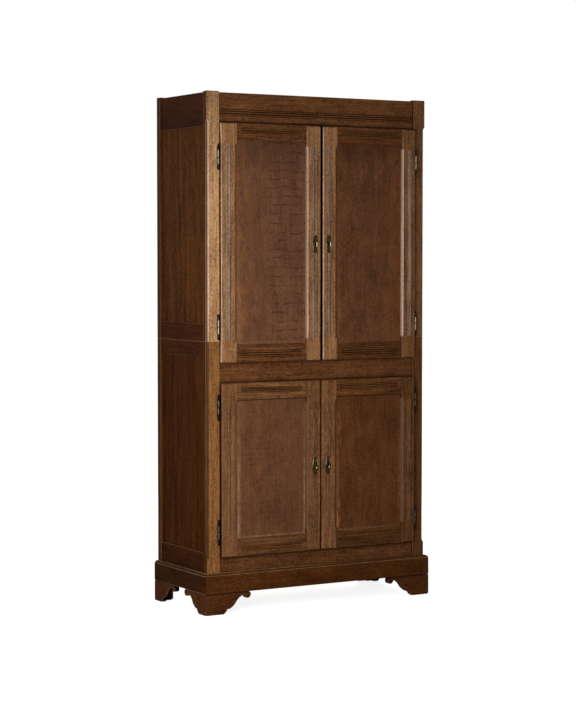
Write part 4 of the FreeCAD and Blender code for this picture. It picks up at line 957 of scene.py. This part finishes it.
fixings = bpy.data.node_groups.new("fixings", "GeometryNodeTree")
fixings.is_modifier = True
for kind, names in (("Vector", ["Centre"]), ("Int", ["Columns", "Rows"]),
                    ("Float", ["Width", "Height", "Radius", "Thickness", "Slot"])):
    for name in names:
        fixings.interface.new_socket(name, in_out="INPUT", socket_type=f"NodeSocket{kind}")
fixings.interface.new_socket("Heads", in_out="OUTPUT", socket_type="NodeSocketGeometry")
asked = add(fixings, "NodeGroupInput").outputs
grid = add(fixings, "GeometryNodeMeshGrid", None, {
    "Size X": asked["Width"], "Size Y": asked["Height"], "Vertices X": asked["Columns"],
    "Vertices Y": asked["Rows"]})
upright = add(fixings, "GeometryNodeTransform", None, {
    "Geometry": grid.outputs["Mesh"], "Translation": asked["Centre"], "Rotation": (math.pi / 2, 0, 0)})
crown = add(fixings, "ShaderNodeMath", {"operation": "MULTIPLY"}, {0: asked["Radius"], 1: 0.72})
head = add(fixings, "GeometryNodeMeshCone", {"fill_type": "NGON"}, {
    "Vertices": 14, "Radius Top": crown.outputs[0], "Radius Bottom": asked["Radius"],
    "Depth": asked["Thickness"]})
slot_length = add(fixings, "ShaderNodeMath", {"operation": "MULTIPLY"}, {0: asked["Radius"], 1: 1.5})
slot_size = add(fixings, "ShaderNodeCombineXYZ", None, {
    "X": slot_length.outputs[0], "Y": asked["Slot"], "Z": asked["Slot"]})
slot = add(fixings, "GeometryNodeMeshCube", None, {"Size": slot_size.outputs[0]})
slot_height = add(fixings, "ShaderNodeCombineXYZ", None, {"Z": asked["Thickness"]})
raised = add(fixings, "GeometryNodeTransform", None, {
    "Geometry": slot.outputs["Mesh"], "Translation": slot_height.outputs[0]})
whole = add(fixings, "GeometryNodeJoinGeometry")
fixings.links.new(head.outputs["Mesh"], whole.inputs[0])
fixings.links.new(raised.outputs["Geometry"], whole.inputs[0])
turn = add(fixings, "FunctionNodeRandomValue", {"data_type": "FLOAT"}, {2: 0.0, 3: math.pi, "Seed": 7})
spin = add(fixings, "ShaderNodeCombineXYZ", None, {"X": -math.pi / 2, "Y": turn.outputs[1]})
spread = add(fixings, "GeometryNodeInstanceOnPoints", None, {
    "Points": upright.outputs["Geometry"], "Instance": whole.outputs[0], "Rotation": spin.outputs[0]})
real = add(fixings, "GeometryNodeRealizeInstances", None, {0: spread.outputs[0]})
dressed = add(fixings, "GeometryNodeSetMaterial", None, {
    "Geometry": real.outputs[0], "Material": lock_steel})
add(fixings, "NodeGroupOutput", None, {0: dressed.outputs[0]})


def heads(name, body, centre, width, height, columns, rows, radius, thickness, slot=0.0):
    """A width by height grid of screw or nail heads that face the back, made a plain mesh.

    Sizes are millimetres, and slot is the width of the screws' slots."""
    maker = new_object("maker", bpy.data.meshes.new("maker"))
    modifier = maker.modifiers.new("fixings", "NODES")
    modifier.node_group = fixings
    wanted = {"Centre": [value * MM for value in centre], "Width": width * MM, "Height": height * MM,
              "Columns": columns, "Rows": rows, "Radius": radius * MM, "Thickness": thickness * MM,
              "Slot": slot * MM}
    for socket in fixings.interface.items_tree:
        if socket.in_out == "INPUT":
            modifier[socket.identifier] = wanted[socket.name]
    maker.update_tag()
    seen = maker.evaluated_get(bpy.context.evaluated_depsgraph_get())
    piece = new_object(name, bpy.data.meshes.new_from_object(seen))
    bpy.data.objects.remove(maker)
    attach(piece, body)


for floor in ("lower", "upper"):
    low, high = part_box(f"{floor}_lock_case")
    centre = [(low[i] + high[i]) / 2 / MM for i in range(3)]
    body = frame["nodes"][f"{floor}_lock_case"]["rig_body"]
    heads(f"{floor}_lock_screws", body, (centre[0] + 1.5, high[1] / MM, centre[2]),
          width=34, height=48, columns=2, rows=2, radius=3.2, thickness=0.9, slot=0.7)
    low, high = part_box(f"{floor}_bolt_plates")
    body = frame["nodes"][f"{floor}_bolt_plates"]["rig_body"]
    for end, z in (("top", high[2] / MM - 46), ("bottom", low[2] / MM + 46)):
        heads(f"{floor}_{end}_plate_screws", body,
              ((low[0] + high[0]) / 2 / MM, low[1] / MM + 2.3, z),
              width=17, height=60, columns=2, rows=2, radius=2.4, thickness=0.7, slot=0.6)

# Two nails in each of the seven back boards, a row of them at each floor, shelf and roof.
NAIL_STEP, NAILS_ACROSS, BACK_FACE = 67.96, 14, 228.2
for floor, rows, low_row, row_step in (("lower", 4, 242, 283), ("upper", 5, 1109, 244.5)):
    rise = row_step * (rows - 1)
    heads(f"{floor}_back_nails", "carcass", (0, BACK_FACE, low_row + rise / 2),
          width=NAIL_STEP * (NAILS_ACROSS - 1), height=rise, columns=NAILS_ACROSS, rows=rows,
          radius=2.6, thickness=0.8)


# ---------------------------------------------------------------- floor, light and camera
# A pale studio floor that fades into a plain white surround, one large soft light ahead on the
# left, and one behind on the right for the back and the far side.

FLOOR_REACH = 14
floor_mesh = bpy.data.meshes.new("studio_floor")
floor_corners = [(x * FLOOR_REACH, y * FLOOR_REACH, 0) for x, y in ((-1, -1), (1, -1), (1, 1), (-1, 1))]
floor_mesh.from_pydata(floor_corners, [], [(0, 1, 2, 3)])
studio_floor = new_object("studio_floor", floor_mesh)
paper, tree = new_material("pale_paper")
seen = add(tree, "ShaderNodeLightPath").outputs["Is Camera Ray"]
spot = add(tree, "ShaderNodeTexCoord").outputs["Object"]
away = add(tree, "ShaderNodeVectorMath", {"operation": "LENGTH"}, {0: spot}).outputs["Value"]
level = add(tree, "ShaderNodeMapRange", {"interpolation_type": "SMOOTHSTEP"}, {
    "Value": away, "From Min": 0.7, "From Max": 2.2, "To Min": 0.86, "To Max": 1.0}).outputs[0]
shown = add(tree, "ShaderNodeMath", {"operation": "MULTIPLY"}, {0: seen, 1: level}).outputs[0]
glow = add(tree, "ShaderNodeEmission", None, {"Color": (1, 1, 1, 1), "Strength": shown})
matt = add(tree, "ShaderNodeBsdfDiffuse", None, {"Color": linear("#D8D4CE")})
both = add(tree, "ShaderNodeAddShader", None, {0: glow.outputs[0], 1: matt.outputs[0]})
add(tree, "ShaderNodeOutputMaterial", None, {"Surface": both.outputs[0]})
floor_mesh.materials.append(paper)

world = bpy.data.worlds.new("studio")
world.use_nodes = True
world.node_tree.nodes.clear()
tree = world.node_tree
rays = add(tree, "ShaderNodeLightPath").outputs
shown = rays["Is Camera Ray"]
for other in ("Is Glossy Ray", "Is Transmission Ray"):
    shown = add(tree, "ShaderNodeMath", {"operation": "MAXIMUM"}, {0: shown, 1: rays[other]}).outputs[0]
strength = add(tree, "ShaderNodeMapRange", None, {"Value": shown, "To Min": 0.14, "To Max": 1.0})
surround = add(tree, "ShaderNodeBackground", None, {"Color": (1, 1, 1, 1), "Strength": strength.outputs[0]})
add(tree, "ShaderNodeOutputWorld", None, {"Surface": surround.outputs[0]})
bpy.context.scene.world = world


def soft_light(name, place, aim, size, watts):
    lamp = bpy.data.lights.new(name, "AREA")
    lamp.shape = "RECTANGLE"
    lamp.size, lamp.size_y = size
    lamp.energy = watts
    holder = new_object(name, lamp)
    holder.location = place
    holder.rotation_euler = (Vector(aim) - Vector(place)).to_track_quat("-Z", "Y").to_euler()


soft_light("key_light", (-1.7, -1.95, 1.05), (-0.2, -0.2, 1.05), (1.0, 1.3), 42)
soft_light("back_light", (1.9, 3.0, 1.6), (0.0, 0.2, 1.05), (1.6, 1.6), 60)

DOWN, TO_THE_RIGHT = math.radians(2.7297), math.radians(30.4118)
camera_data = bpy.data.cameras.new("camera")
camera_data.sensor_width = 36
camera_data.lens = 101.70
camera = new_object("camera", camera_data)
camera.location = (-4.2891, -7.2660, 1.4310)
camera.rotation_euler = (math.pi / 2 - DOWN, 0, -TO_THE_RIGHT)
bpy.context.scene.camera = camera
bpy.context.scene.view_settings.view_transform = "Standard"
